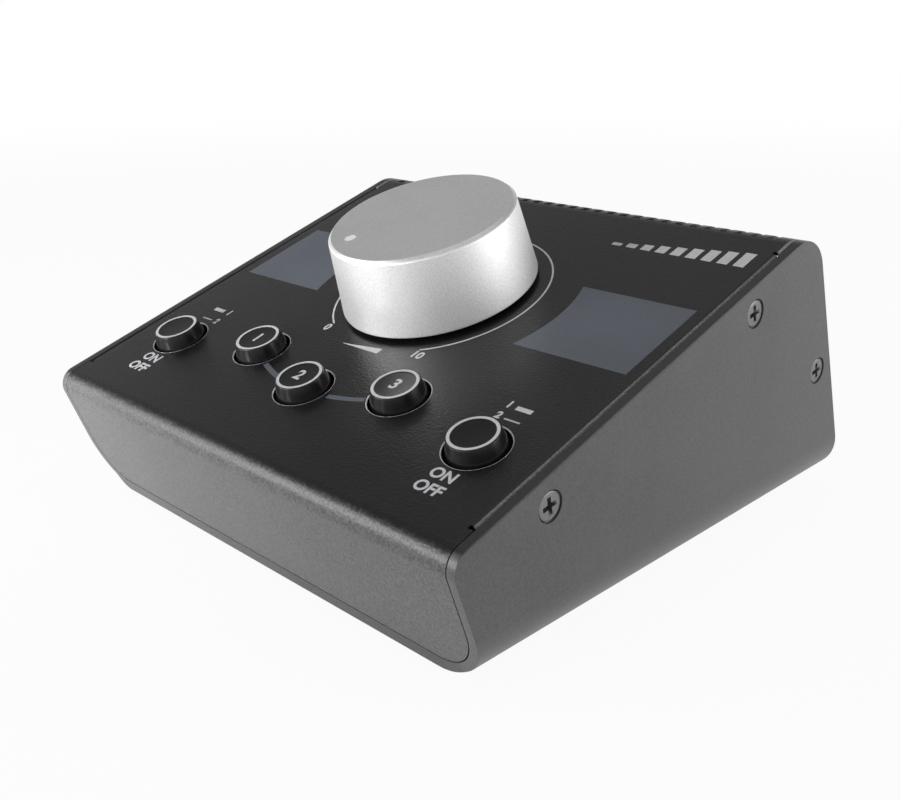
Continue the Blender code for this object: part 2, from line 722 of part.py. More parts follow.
def build_insert(panel_frame):
    """The plastic bush that fills the knob's hub and grips the shaft's flat."""
    place = (0, KNOB_UP_SLOPE, 0)
    low = KNOB_HUB_LIFT
    shoulder = low + INSERT_FLANGE - FIT_GAP
    high = KNOB_LIFT + KNOB_HEIGHT - KNOB_CROWN - FIT_GAP
    bm = bmesh.new()
    profile = [
        (0, low),
        (INSERT_FLANGE_RADIUS, low),
        (INSERT_FLANGE_RADIUS, shoulder),
        (INSERT_RADIUS, shoulder),
        (INSERT_RADIUS, high),
        (0, high),
    ]
    turned(bm, profile, ROUND_STEPS)
    insert = add_piece("knob_insert", bm, "black_plastic", panel_frame, place, REST_ANGLE)
    bm = bmesh.new()
    prism(bm, d_outline(SHAFT_RADIUS + FIT_GAP, SHAFT_FLAT), low - CUT_OVERRUN, high - SHAFT_TIP_GAP)
    combine(insert, add_cutter("insert_bore", bm, panel_frame, place, REST_ANGLE), "DIFFERENCE")


def build_potentiometer(panel_frame):
    """Bushing and plate, housing cup, track wafer, shaft with rotor, washer and nut."""
    place = (0, KNOB_UP_SLOPE, 0)
    plate_top = -COVER_SHEET - FIT_GAP
    plate_low = plate_top - POT_PLATE
    running = SHAFT_RADIUS + FIT_GAP
    bm = bmesh.new()
    profile = [
        (running, plate_low),
        (POT_RADIUS, plate_low),
        (POT_RADIUS, plate_top),
        (BUSHING_RADIUS, plate_top),
        (BUSHING_RADIUS, BUSHING_STANDS),
        (running, BUSHING_STANDS),
    ]
    turned(bm, profile, ROUND_STEPS)
    add_piece("volume_bushing", bm, "bright_steel", panel_frame, place)

    cup_top = plate_low - FIT_GAP
    cup_low = -BOARD_DEPTH + FIT_GAP
    cup_inner = POT_RADIUS - POT_WALL
    bm = bmesh.new()
    profile = [
        (0, cup_low),
        (POT_RADIUS, cup_low),
        (POT_RADIUS, cup_top),
        (cup_inner, cup_top),
        (cup_inner, cup_low + POT_WALL),
        (0, cup_low + POT_WALL),
    ]
    turned(bm, profile, ROUND_STEPS)
    add_piece("volume_housing", bm, "black_plastic", panel_frame, place)

    wafer_low = cup_low + POT_WALL + FIT_GAP
    bm = bmesh.new()
    disc(bm, cup_inner - FIT_GAP, wafer_low, wafer_low + WAFER_THICKNESS, ROUND_STEPS)
    add_piece("volume_wafer", bm, "track_brown", panel_frame, place)

    rotor_top = cup_top - POT_ROTOR_DROP
    shaft_low = wafer_low + WAFER_THICKNESS + FIT_GAP
    flat_start = BUSHING_STANDS + FIT_GAP
    tip = KNOB_LIFT + KNOB_HEIGHT - KNOB_CROWN - FIT_GAP - SHAFT_TIP_GAP - FIT_GAP
    bm = bmesh.new()
    profile = [
        (0, shaft_low),
        (SHAFT_RADIUS, shaft_low),
        (SHAFT_RADIUS, rotor_top - ROTOR_THICKNESS),
        (ROTOR_RADIUS, rotor_top - ROTOR_THICKNESS),
        (ROTOR_RADIUS, rotor_top),
        (SHAFT_RADIUS, rotor_top),
        (SHAFT_RADIUS, tip),
        (0, tip),
    ]
    turned(bm, profile, ROUND_STEPS)
    shaft = add_piece("volume_shaft", bm, "bright_steel", panel_frame, place, REST_ANGLE)
    bm = bmesh.new()
    side = rectangle(-BUSHING_RADIUS, SHAFT_FLAT - SHAFT_RADIUS, -BUSHING_RADIUS, BUSHING_RADIUS)
    prism(bm, side, flat_start, tip + CUT_OVERRUN)
    combine(shaft, add_cutter("shaft_flat", bm, panel_frame, place, REST_ANGLE), "DIFFERENCE")

    thread = BUSHING_RADIUS + FIT_GAP
    washer_top = FIT_GAP + WASHER_THICKNESS
    bm = bmesh.new()
    outer = POT_WASHER_RADIUS
    ring = [(thread, FIT_GAP), (outer, FIT_GAP), (outer, washer_top), (thread, washer_top)]
    turned(bm, ring, ROUND_STEPS)
    add_piece("volume_washer", bm, "bright_steel", panel_frame, place)
    bm = bmesh.new()
    nut_low = washer_top + FIT_GAP
    hex_nut(bm, POT_NUT_ACROSS_FLATS, thread, nut_low, nut_low + POT_NUT_THICKNESS)
    add_piece("volume_nut", bm, "bright_steel", panel_frame, place)


def hex_nut(bm, across_flats, bore, low, high):
    """A hexagonal nut with a round bore, its faces joined ring to ring."""
    corners = polygon(across_flats, HEX_SIDES)
    per_side = ROUND_STEPS // HEX_SIDES
    outer, inner = [], []
    for index in range(ROUND_STEPS):
        start = Vector(corners[index // per_side])
        end = Vector(corners[(index // per_side + 1) % HEX_SIDES])
        point = start.lerp(end, (index % per_side) / per_side)
        outer.append(point)
        inner.append(point.normalized() * bore)
    loops = []
    for outline, z in ((outer, low), (outer, high), (inner, high), (inner, low)):
        loops.append([bm.verts.new((*point, z)) for point in outline])
    for loop, following in zip(loops, loops[1:] + loops[:1]):
        for index in range(ROUND_STEPS):
            after = (index + 1) % ROUND_STEPS
            bm.faces.new((loop[index], loop[after], following[after], following[index]))


def button_places():
    """Middles of the five buttons on the panel, in the order of their names."""
    outer = PANEL_HALF - OUTER_BUTTON_INSET
    return [
        (-outer, OUTER_BUTTON_UP),
        (-MIDDLE_BUTTON_X, MIDDLE_BUTTON_UP),
        (0.0, FRONT_BUTTON_UP),
        (MIDDLE_BUTTON_X, MIDDLE_BUTTON_UP),
        (outer, OUTER_BUTTON_UP),
    ]


def build_button(name, place, panel_frame):
    """A button's cap, with its hollow skirt and the boss that its plunger fits."""
    top = BUTTON_STANDS
    low = -BUTTON_SKIRT
    ceiling = top - BUTTON_WALL
    inner = BUTTON_BASE_RADIUS - BUTTON_WALL
    inner_top = BUTTON_TOP_RADIUS - BUTTON_WALL
    profile = [
        (0, low),
        (BUTTON_BOSS_RADIUS, low),
        (BUTTON_BOSS_RADIUS, ceiling),
        (inner_top, ceiling),
        (inner, low),
        (BUTTON_BASE_RADIUS, low),
        (BUTTON_BASE_RADIUS, 0),
        *rounded_edge(BUTTON_TOP_RADIUS, top, BUTTON_EDGE),
        (0, top),
    ]
    bm = bmesh.new()
    turned(bm, profile, BUTTON_STEPS)
    cap = add_piece(f"{name}_button", bm, "gloss_black", panel_frame, place)
    bm = bmesh.new()
    prism(bm, square(PLUNGER_WIDTH + FIT_GAP + FIT_GAP), low - CUT_OVERRUN, ceiling)
    combine(cap, add_cutter(f"{name}_socket", bm, panel_frame, place), "DIFFERENCE")


def build_switch(name, place, panel_frame):
    """The switch under a button: its housing, its plunger and its return spring."""
    low = -BOARD_DEPTH + FIT_GAP
    high = -SWITCH_CEILING
    floor = low + SWITCH_BASE
    roof = high - SWITCH_TOP
    bm = bmesh.new()
    prism(bm, square(SWITCH_WIDTH), low, high)
    housing = add_piece(f"{name}_switch", bm, "grey_plastic", panel_frame, place)
    bm = bmesh.new()
    prism(bm, square(SWITCH_WIDTH - 2 * SWITCH_WALL), floor, roof)
    combine(housing, add_cutter(f"{name}_cavity", bm, panel_frame, place), "DIFFERENCE")
    bm = bmesh.new()
    prism(bm, square(PLUNGER_WIDTH + FIT_GAP + FIT_GAP), floor + FIT_GAP, high + CUT_OVERRUN)
    combine(housing, add_cutter(f"{name}_guide", bm, panel_frame, place), "DIFFERENCE")

    collar_top = roof - FIT_GAP
    collar_low = collar_top - PLUNGER_COLLAR
    tip = BUTTON_STANDS - BUTTON_WALL - FIT_GAP
    half, collar = PLUNGER_WIDTH / 2, PLUNGER_COLLAR_WIDTH / 2
    bm = bmesh.new()
    levels = [(collar, collar_low), (collar, collar_top), (half, collar_top), (half, tip)]
    loops = [[bm.verts.new((x, y, z)) for x, y in square(2 * width)] for width, z in levels]
    bm.faces.new(list(reversed(loops[0])))
    bm.faces.new(loops[-1])
    for loop, following in zip(loops, loops[1:]):
        for index in range(len(loop)):
            after = (index + 1) % len(loop)
            bm.faces.new((loop[index], loop[after], following[after], following[index]))
    add_piece(f"{name}_plunger", bm, "black_plastic", panel_frame, place)

    spring(f"{name}_spring", panel_frame, place, floor + FIT_GAP, collar_low - FIT_GAP)


def spring(name, parent, place, low, high):
    """A compression spring about local Z, a wire on a helix with capped ends."""
    bottom = low + SPRING_WIRE_RADIUS
    rise = high - SPRING_WIRE_RADIUS - bottom
    count = SPRING_TURNS * SPRING_POINTS_PER_TURN
    curve = bpy.data.curves.new(name, "CURVE")
    curve.dimensions = "3D"
    curve.bevel_depth = SPRING_WIRE_RADIUS
    curve.bevel_resolution = 0
    curve.use_fill_caps = True
    wire = curve.splines.new("POLY")
    wire.points.add(count)
    for index, point in enumerate(wire.points):
        angle = math.tau * index / SPRING_POINTS_PER_TURN
        x, y = SPRING_RADIUS * math.cos(angle), SPRING_RADIUS * math.sin(angle)
        point.co = (x, y, bottom + rise * index / count, 1)
    curve.materials.append(finish("spring_steel"))
    coil = bpy.data.objects.new(name, curve)
    bpy.context.scene.collection.objects.link(coil)
    coil.parent = parent
    coil.location = place


def standoff_places():
    """The four standoffs that carry the control board, by name."""
    rows = {
        "front": (FRONT_STANDOFF_X, BOARD_FRONT + STANDOFF_INSET),
        "rear": (PANEL_HALF - BOARD_EDGE - STANDOFF_INSET, BOARD_REAR - STANDOFF_INSET),
    }
    places = {}
    for row, (x, y) in rows.items():
        for side, sign in SIDES:
            places[f"standoff_{row}_{side}"] = (sign * x, y)
    return places


def build_control_board(panel_frame):
    """The circuit board under the panel, and the hexagonal standoffs with their screws."""
    half = PANEL_HALF - BOARD_EDGE
    clear = SCREW_SHANK_RADIUS + FIT_GAP
    bm = bmesh.new()
    outline = rounded_rectangle(-half, half, BOARD_FRONT, BOARD_REAR, BOARD_CORNER)
    prism(bm, outline, -UNDERSIDE, -BOARD_DEPTH)
    board = add_piece("control_board", bm, "board_green", panel_frame)
    bm = bmesh.new()
    for x, y in standoff_places().values():
        disc(bm, clear, -UNDERSIDE - CUT_OVERRUN, CUT_OVERRUN - BOARD_DEPTH, SMALL_STEPS, x, y)
    combine(board, add_cutter("board_holes", bm, panel_frame), "DIFFERENCE")

    low, high = FIT_GAP - BOARD_DEPTH, -COVER_SHEET - FIT_GAP
    head_top = -UNDERSIDE - FIT_GAP
    screw = [
        (0, head_top - BOARD_SCREW_HEAD),
        (BOARD_SCREW_HEAD_RADIUS, head_top - BOARD_SCREW_HEAD),
        (BOARD_SCREW_HEAD_RADIUS, head_top),
        (SCREW_SHANK_RADIUS, head_top),
        (SCREW_SHANK_RADIUS, low + CUT_OVERRUN),
        (0, low + CUT_OVERRUN),
    ]
    for name, (x, y) in standoff_places().items():
        bm = bmesh.new()
        prism(bm, polygon(STANDOFF_ACROSS_FLATS, HEX_SIDES), low, high)
        standoff = add_piece(name, bm, "bright_steel", panel_frame, (x, y, 0))
        bm = bmesh.new()
        turned(bm, screw, SMALL_STEPS)
        combine(standoff, add_cutter(f"{name}_screw", bm, panel_frame, (x, y, 0)), "UNION")


def jack_places():
    """Middles of the jacks in the rear frame, row by row from the top."""
    columns = [JACK_COLUMN_PITCH * (column - (JACK_COLUMNS - 1) / 2) for column in range(JACK_COLUMNS)]
    rows = [-JACK_TOP_DROP - JACK_ROW_PITCH * row for row in range(JACK_ROWS)]
    return [(x, y) for y in rows for x in columns]


def build_jack(name, place, rear_frame):
    """One 6.35 mm jack: a square body behind the face, a threaded nose, its nut and a blind bore."""
    front = -COVER_SHEET - FIT_GAP
    back = front - JACK_BODY_DEPTH
    top = JACK_NOSE_STANDS
    bm = bmesh.new()
    prism(bm, square(JACK_BODY_WIDTH), back, front)
    jack = add_piece(name, bm, "black_plastic", rear_frame, place)
    bm = bmesh.new()
    nose = [
        (0, front - CUT_OVERRUN),
        (JACK_NOSE_RADIUS, front - CUT_OVERRUN),
        (JACK_NOSE_RADIUS, top - JACK_CHAMFER),
        (JACK_NOSE_RADIUS - JACK_CHAMFER, top),
        (0, top),
    ]
    turned(bm, nose, JACK_STEPS)
    combine(jack, add_cutter(f"{name}_nose", bm, rear_frame, place), "UNION")
    bm = bmesh.new()
    prism(bm, polygon(JACK_NUT_ACROSS_FLATS, HEX_SIDES), FIT_GAP, FIT_GAP + JACK_NUT_THICKNESS)
    combine(jack, add_cutter(f"{name}_nut", bm, rear_frame, place), "UNION")
    bm = bmesh.new()
    disc(bm, JACK_BORE_RADIUS, back + JACK_BACK_WALL, top + CUT_OVERRUN, JACK_STEPS)
    combine(jack, add_cutter(f"{name}_bore", bm, rear_frame, place), "DIFFERENCE")


def build_jack_board(rear_frame):
    """The circuit board behind the jacks."""
    half = PANEL_HALF - BOARD_EDGE
    front, back = -JACK_BOARD_DEPTH, -JACK_BOARD_DEPTH - BOARD_SHEET
    low = JACK_BOARD_RISE - REAR_LENGTH
    bm = bmesh.new()
    prism(bm, rounded_rectangle(-half, half, low, -JACK_BOARD_TOP, BOARD_CORNER), back, front)
    add_piece("jack_board", bm, "board_green", rear_frame)


def build_ribbon(panel_frame, rear_frame):
    """The ribbon cable and its two connectors, between the two boards."""
    half = HEADER_LENGTH / 2
    header_y = BOARD_REAR - HEADER_REAR_INSET
    top = -UNDERSIDE - FIT_GAP
    bm = bmesh.new()
    wide = HEADER_WIDTH / 2
    prism(bm, rectangle(-half, half, header_y - wide, header_y + wide), top - HEADER_HEIGHT, top)
    add_piece("control_header", bm, "black_plastic", panel_frame)

    back = -JACK_BOARD_DEPTH - BOARD_SHEET - FIT_GAP
    bm = bmesh.new()
    outline = rectangle(-half, half, -JACK_HEADER_DROP - wide, wide - JACK_HEADER_DROP)
    prism(bm, outline, back - HEADER_HEIGHT, back)
    add_piece("jack_header", bm, "black_plastic", rear_frame)

    start = FRONT_CORNER + SLOPE_DIRECTION * header_y + SLOPE_NORMAL * (top - HEADER_HEIGHT - FIT_GAP)
    end = REAR_CORNER + REAR_DIRECTION * JACK_HEADER_DROP
    end += REAR_NORMAL * (back - HEADER_HEIGHT - FIT_GAP)
    pulls = (start, start - SLOPE_NORMAL * RIBBON_STUB, end - REAR_NORMAL * RIBBON_STUB, end)
    left, right = [], []
    for step in range(RIBBON_STEPS + 1):
        share = step / RIBBON_STEPS
        rest = 1 - share
        weights = (rest**3, 3 * rest**2 * share, 3 * rest * share**2, share**3)
        slopes = (-(rest**2), rest**2 - 2 * rest * share, 2 * rest * share - share**2, share**2)
        point, direction = Vector((0.0, 0.0)), Vector((0.0, 0.0))
        for pull, weight, slope in zip(pulls, weights, slopes):
            point += pull * weight
            direction += pull * slope
        direction.normalize()
        aside = Vector((-direction.y, direction.x)) * RIBBON_THICKNESS / 2
        left.append(tuple(point + aside))
        right.append(tuple(point - aside))
    bm = bmesh.new()
    sideways = Matrix(((0, 0, 1, 0), (1, 0, 0, -MIDDLE_Y), (0, 1, 0, FLOOR_Z), (0, 0, 0, 1)))
    prism(bm, right + list(reversed(left)), -RIBBON_WIDTH / 2, RIBBON_WIDTH / 2, sideways)
    add_piece("ribbon_cable", bm, "ribbon_grey")


def build_feet(floor_frame):
    """Four rubber feet under the tray."""
    for depth, y in (("front", FOOT_INSET_Y), ("rear", BASE_DEPTH - FOOT_INSET_Y)):
        for side, sign in SIDES:
            place = (sign * (TRAY_HALF - FOOT_INSET_X), y, 0)
            low, high = -FIT_GAP - FOOT_HEIGHT, -FIT_GAP
            profile = [(0, low), (FOOT_BASE_RADIUS, low), (FOOT_RADIUS, high), (0, high)]
            bm = bmesh.new()
            turned(bm, profile, ROUND_STEPS)
            add_piece(f"foot_{depth}_{side}", bm, "foot_rubber", floor_frame, place)


def main():
    """Build the whole controller."""
    clear_scene()
    bpy.context.scene.unit_settings.scale_length = 1.0
    x_axis = Vector((1, 0, 0))

    def upright(direction):
        return Vector((0, direction.x, direction.y))

    slope, normal = upright(SLOPE_DIRECTION), upright(SLOPE_NORMAL)
    panel_frame = frame("panel_frame", case_point(0, FRONT_CORNER), x_axis, slope, normal)
    up, out = -upright(REAR_DIRECTION), upright(REAR_NORMAL)
    rear_frame = frame("rear_frame", case_point(0, REAR_CORNER), -x_axis, up, out)
    floor_place = case_point(0, Vector((0.0, 0.0)))
    floor_frame = frame("floor_frame", floor_place, x_axis, Vector((0, 1, 0)), Vector((0, 0, 1)))

    build_tray()
    cover = build_cover()
    cut_cover(cover, panel_frame, rear_frame)
    build_side_screws()
    build_knob(panel_frame)
    build_insert(panel_frame)
    build_potentiometer(panel_frame)
    for name, (x, y) in zip(BUTTON_NAMES, button_places()):
        build_button(name, (x, y, 0), panel_frame)
        build_switch(name, (x, y, 0), panel_frame)
    build_control_board(panel_frame)
    for name, (x, y) in zip(JACK_NAMES, jack_places()):
        build_jack(name, (x, y, 0), rear_frame)
    build_jack_board(rear_frame)
    build_ribbon(panel_frame, rear_frame)
    build_feet(floor_frame)


if __name__ == "__main__":
    main()
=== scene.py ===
"""Looks of a desktop studio monitor controller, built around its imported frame.

The case is a wedge of bent sheet metal: a tray with two side plates, and a folded cover between them.
A large aluminium knob and five round keys stand on the sloping panel, and eight jacks fill the rear.
Lengths are in metres, +X is to the user's right, +Y to the rear and +Z up.
"""

import json
import logging
import math
from collections.abc import Iterable, Sequence
from dataclasses import dataclass, field
from enum import Enum
from typing import ClassVar

import bmesh
import bpy
from mathutils import Euler, Matrix, Vector


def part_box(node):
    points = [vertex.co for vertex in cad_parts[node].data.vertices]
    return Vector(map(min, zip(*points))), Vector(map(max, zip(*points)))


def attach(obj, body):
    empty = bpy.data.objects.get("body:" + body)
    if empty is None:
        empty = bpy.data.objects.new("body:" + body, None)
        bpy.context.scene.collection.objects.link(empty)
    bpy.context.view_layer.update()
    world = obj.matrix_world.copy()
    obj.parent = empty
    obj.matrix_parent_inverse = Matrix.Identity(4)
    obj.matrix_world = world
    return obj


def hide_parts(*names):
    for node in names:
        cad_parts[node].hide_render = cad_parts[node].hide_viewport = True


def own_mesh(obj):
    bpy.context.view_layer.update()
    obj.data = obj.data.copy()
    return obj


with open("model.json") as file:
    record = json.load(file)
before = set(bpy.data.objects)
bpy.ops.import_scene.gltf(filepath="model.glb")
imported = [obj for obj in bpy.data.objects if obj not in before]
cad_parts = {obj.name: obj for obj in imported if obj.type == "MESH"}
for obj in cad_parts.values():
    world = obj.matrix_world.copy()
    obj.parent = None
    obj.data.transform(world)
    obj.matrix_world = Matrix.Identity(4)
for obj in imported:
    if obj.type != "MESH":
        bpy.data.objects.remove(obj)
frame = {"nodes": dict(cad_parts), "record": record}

LOG = logging.getLogger("controller")
WELD = 1e-7
SHARP_ANGLE = math.radians(32.0)
OVERRUN = 0.002
EDGE_STEPS = 2
FLAT_FACE_WEIGHT = 100
NOISE_LOW, NOISE_HIGH = 0.30, 0.70
WHITE = (1.0, 1.0, 1.0, 1.0)

Point2 = tuple[float, float]
Point3 = tuple[float, float, float]
Colour = tuple[float, float, float]
TreeInputs = dict[str, tuple[str, object]]


class Body(Enum):
    """The bodies that pieces ride on."""

    CASE = "case"
    KNOB = "knob"


class Slot(Enum):
    """The record's finishes."""

    POWDER_COAT = "powder_coat"
    PANEL_COAT = "panel_coat"
    SATIN_ALUMINIUM = "satin_aluminium"
    GLOSS_BLACK = "gloss_black"
    BLACK_PLASTIC = "black_plastic"
    GREY_PLASTIC = "grey_plastic"
    BLACK_ZINC = "black_zinc"
    BRIGHT_STEEL = "bright_steel"
    SPRING_STEEL = "spring_steel"
    TRACK_BROWN = "track_brown"
    BOARD_GREEN = "board_green"
    RIBBON_GREY = "ribbon_grey"
    FOOT_RUBBER = "foot_rubber"


# Shape of the case


def crossing(point: Vector, along: Vector, other: Vector, other_along: Vector) -> Vector:
    """Where two lines of the side profile meet.

    Args:
        point: a point of the first line.
        along: the first line's direction.
        other: a point of the second line.
        other_along: the second line's direction.

    Returns:
        The shared point.
    """
    gap = other - point
    turn = along.x * other_along.y - along.y * other_along.x
    return point + along * ((gap.x * other_along.y - gap.y * other_along.x) / turn)


@dataclass(frozen=True)
class CaseShape:
    """Sizes of the case, and the side profile that they give, with y to the rear and z up."""

    width: float = 0.135
    base_depth: float = 0.1304
    front_height: float = 0.0296
    slope: float = math.radians(18.3)
    front_lean: float = math.radians(19.6)
    rear_lean: float = math.radians(20.8)
    front_bend: float = 0.00423
    rear_bend: float = 0.0098
    tray_sheet: float = 0.0021
    tray_bend: float = 0.0128
    cover_sheet: float = 0.0010
    gap: float = 0.0003
    seam: float = 0.00015
    floor_z: float = 0.0023
    bend_steps: int = 16

    @property
    def along(self) -> Vector:
        """Up the sloping panel."""
        return Vector((math.cos(self.slope), math.sin(self.slope)))

    @property
    def normal(self) -> Vector:
        """Out of the sloping panel."""
        return Vector((-math.sin(self.slope), math.cos(self.slope)))

    @property
    def front_up(self) -> Vector:
        """Up the front face."""
        return Vector((-math.sin(self.front_lean), math.cos(self.front_lean)))

    @property
    def rear_down(self) -> Vector:
        """Down the rear face."""
        return Vector((math.sin(self.rear_lean), -math.cos(self.rear_lean)))

    @property
    def rear_normal(self) -> Vector:
        """Out of the rear face."""
        return Vector((math.cos(self.rear_lean), math.sin(self.rear_lean)))

    @property
    def front_foot(self) -> Vector:
        """Lower end of the front face."""
        return Vector((0.0, self.tray_sheet))

    @property
    def rear_foot(self) -> Vector:
        """Lower end of the rear face."""
        return Vector((self.base_depth, self.tray_sheet))

    @property
    def front_corner(self) -> Vector:
        """Where the front face and the panel would meet."""
        rise = (self.front_height - self.tray_sheet) / self.front_up.y
        return self.front_foot + self.front_up * rise

    @property
    def rear_corner(self) -> Vector:
        """Where the panel and the rear face would meet."""
        return crossing(self.front_corner, self.along, self.rear_foot, self.rear_down)

    @property
    def slope_length(self) -> float:
        """Length of the panel from corner to corner."""
        return (self.rear_corner - self.front_corner).length

    @property
    def rear_length(self) -> float:
        """Length of the rear face from its corner to its foot."""
        return (self.rear_foot - self.rear_corner).length

    @property
    def front_length(self) -> float:
        """Length of the front face from its corner to its foot."""
        return (self.front_corner - self.front_foot).length

    @property
    def tray_half(self) -> float:
        """Half of the width over the side plates."""
        return self.width / 2

    @property
    def panel_half(self) -> float:
        """Half of the width of the cover's solid, from which the keys and jacks are set out."""
        return self.tray_half - self.tray_sheet - self.gap

    @property
    def cover_half(self) -> float:
        """Half of the width of the cover as dressed, with finer seams than the solids have."""
        return self.tray_half - self.tray_sheet - self.seam

    @property
    def middle_y(self) -> float:
        """Distance of the frame's origin behind the foot of the front face."""
        return self.base_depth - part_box("base_tray")[1].y

    def corner(self, corner: Vector, arriving: Vector, leaving: Vector, radius: float) -> tuple[Vector, float, float]:
        """A round corner of the profile.

        Args:
            corner: the sharp corner.
            arriving: the direction before it.
            leaving: the direction after it.
            radius: the bend's radius.

        Returns:
            The arc's centre, its tangent length and its turn.
        """
        turn = arriving.angle(leaving)
        tangent = radius * math.tan(turn / 2)
        inward = Vector((arriving.y, -arriving.x))
        return corner - arriving * tangent + inward * radius, tangent, turn

    def arc(self, corner: Vector, arriving: Vector, leaving: Vector, radius: float) -> list[Vector]:
        """Points of a round corner, in the order of the profile."""
        centre, tangent, turn = self.corner(corner, arriving, leaving, radius)
        spoke = corner - arriving * tangent - centre
        turns = [-turn * step / self.bend_steps for step in range(self.bend_steps + 1)]
        return [centre + Matrix.Rotation(angle, 2) @ spoke for angle in turns]

    def front_arc(self) -> list[Vector]:
        """The bend between the front face and the panel."""
        return self.arc(self.front_corner, self.front_up, self.along, self.front_bend)

    def rear_arc(self) -> list[Vector]:
        """The bend between the panel and the rear face."""
        return self.arc(self.rear_corner, self.along, self.rear_down, self.rear_bend)

    def world(self, x: float, point: Vector) -> Vector:
        """A point of the side profile, at x, in the row frame."""
        return Vector((x, point.x - self.middle_y, point.y + self.floor_z))

    def plane(self, origin: Vector, x_sign: int, up: Vector, out: Vector) -> Matrix:
        """A matrix whose X, Y and Z run across, up and out of one face of the case."""
        turn = Matrix(((x_sign, 0, 0), (0, up.x, up.y), (0, out.x, out.y))).transposed().to_4x4()
        return Matrix.Translation(self.world(0.0, origin)) @ turn

    def panel(self, x: float = 0.0, y: float = 0.0) -> Matrix:
        """The sloping panel's frame, moved from its front corner to a place on it."""
        return self.plane(self.front_corner, 1, self.along, self.normal) @ Matrix.Translation((x, y, 0))

    def rear(self, x: float = 0.0, y: float = 0.0) -> Matrix:
        """The rear face's frame, moved from its upper corner to a place on it."""
        return self.plane(self.rear_corner, -1, -self.rear_down, self.rear_normal) @ Matrix.Translation((x, y, 0))


CASE = CaseShape()


# Mesh tools


def linked(name: str, data: bpy.types.ID) -> bpy.types.Object:
    """A new object of the scene that holds some data."""
    made = bpy.data.objects.new(name, data)
    bpy.context.scene.collection.objects.link(made)
    return made


def from_bmesh(name: str, bm: bmesh.types.BMesh, outward: bool = True) -> bpy.types.Object:
    """A linked object made from a bmesh, which is freed.

    Args:
        name: the object's name.
        bm: the faces, in the row frame.
        outward: whether the normals are turned outwards, which an open sheet keeps as they are.

    Returns:
        The new object, with doubles merged.
    """
    bmesh.ops.remove_doubles(bm, verts=bm.verts, dist=WELD)
    if outward:
        bmesh.ops.recalc_face_normals(bm, faces=bm.faces)
    mesh = bpy.data.meshes.new(name)
    bm.to_mesh(mesh)
    bm.free()
    return linked(name, mesh)


def settle(piece: bpy.types.Object) -> None:
    """Turn what a piece's modifiers make into its plain mesh."""
    bpy.context.view_layer.update()
    graph = bpy.context.evaluated_depsgraph_get()
    mesh = bpy.data.meshes.new_from_object(piece.evaluated_get(graph), depsgraph=graph)
    mesh.name = piece.name
    old = piece.data
    piece.modifiers.clear()
    piece.data = mesh
    if old.users == 0:
        bpy.data.meshes.remove(old)


def soften(piece: bpy.types.Object, width: float, angle: float = SHARP_ANGLE) -> None:
    """Round a piece's sharp edges a little.

    Args:
        piece: the piece.
        width: the width of the rounding.
        angle: the least angle between faces that counts as an edge.
    """
    bevel = piece.modifiers.new("edges", "BEVEL")
    bevel.width = width
    bevel.segments = EDGE_STEPS
    bevel.limit_method = "ANGLE"
    bevel.angle_limit = angle
    bevel.use_clamp_overlap = True
    settle(piece)


def smooth(piece: bpy.types.Object, weighted: bool = True) -> None:
    """Shade a piece smoothly, with its flat faces kept flat and its sharp edges sharp."""
    piece.data.shade_smooth()
    piece.data.set_sharp_from_angle(angle=SHARP_ANGLE)
    if not weighted:
        return
    normals = piece.modifiers.new("normals", "WEIGHTED_NORMAL")
    normals.weight = FLAT_FACE_WEIGHT
    normals.keep_sharp = True
    settle(piece)


def carve(piece: bpy.types.Object, cutter: bpy.types.Object, operation: str = "DIFFERENCE") -> None:
    """Cut or join a piece with a helper, which is removed."""
    boolean = piece.modifiers.new("cut", "BOOLEAN")
    boolean.operation = operation
    boolean.solver = "EXACT"
    boolean.object = cutter
    settle(piece)
    drop(cutter)


def lathe(bm: bmesh.types.BMesh, profile: Sequence[Point2], steps: int, place: Matrix | None = None) -> None:
    """A turned shape about Z.

    Args:
        bm: takes the faces.
        profile: closed outline of (radius, z) points.
        steps: steps of a full turn.
        place: where the shape goes.
    """
    place = place or Matrix.Identity(4)
    rings = []
    for radius, z in profile:
        turns = [math.tau * step / steps for step in range(1 if radius == 0 else steps)]
        spots = [Vector((radius * math.cos(turn), radius * math.sin(turn), z)) for turn in turns]
        rings.append([bm.verts.new(place @ spot) for spot in spots])
    for ring, following in zip(rings, rings[1:] + rings[:1]):
        for step in range(steps):
            after = (step + 1) % steps
            corners = [ring[step % len(ring)], ring[after % len(ring)]]
            corners += [following[after % len(following)], following[step % len(following)]]
            distinct = list(dict.fromkeys(corners))
            if len(distinct) > 2:
                bm.faces.new(distinct)


def bridge(bm: bmesh.types.BMesh, low: Sequence[bmesh.types.BMVert], high: Sequence[bmesh.types.BMVert]) -> None:
    """Close two rims, both anticlockwise from above, into a solid."""
    bm.faces.new(list(reversed(low)))
    bm.faces.new(high)
    for index in range(len(low)):
        after = (index + 1) % len(low)
        bm.faces.new((low[index], low[after], high[after], high[index]))


def prism(
    bm: bmesh.types.BMesh, outline: Sequence[Point2], low: float, high: float, place: Matrix | None = None
) -> None:
    """A closed prism.

    Args:
        bm: takes the faces.
        outline: anticlockwise outline in X and Y.
        low: height of the lower end.
        high: height of the upper end.
        place: where the shape goes.
    """
    place = place or Matrix.Identity(4)
    under, over = ([bm.verts.new(place @ Vector((x, y, z))) for x, y in outline] for z in (low, high))
    bridge(bm, under, over)


def turned(name: str, profile: Sequence[Point2], steps: int, place: Matrix | None = None) -> bpy.types.Object:
    """An object of one turned shape."""
    bm = bmesh.new()
    lathe(bm, profile, steps, place)
    return from_bmesh(name, bm)


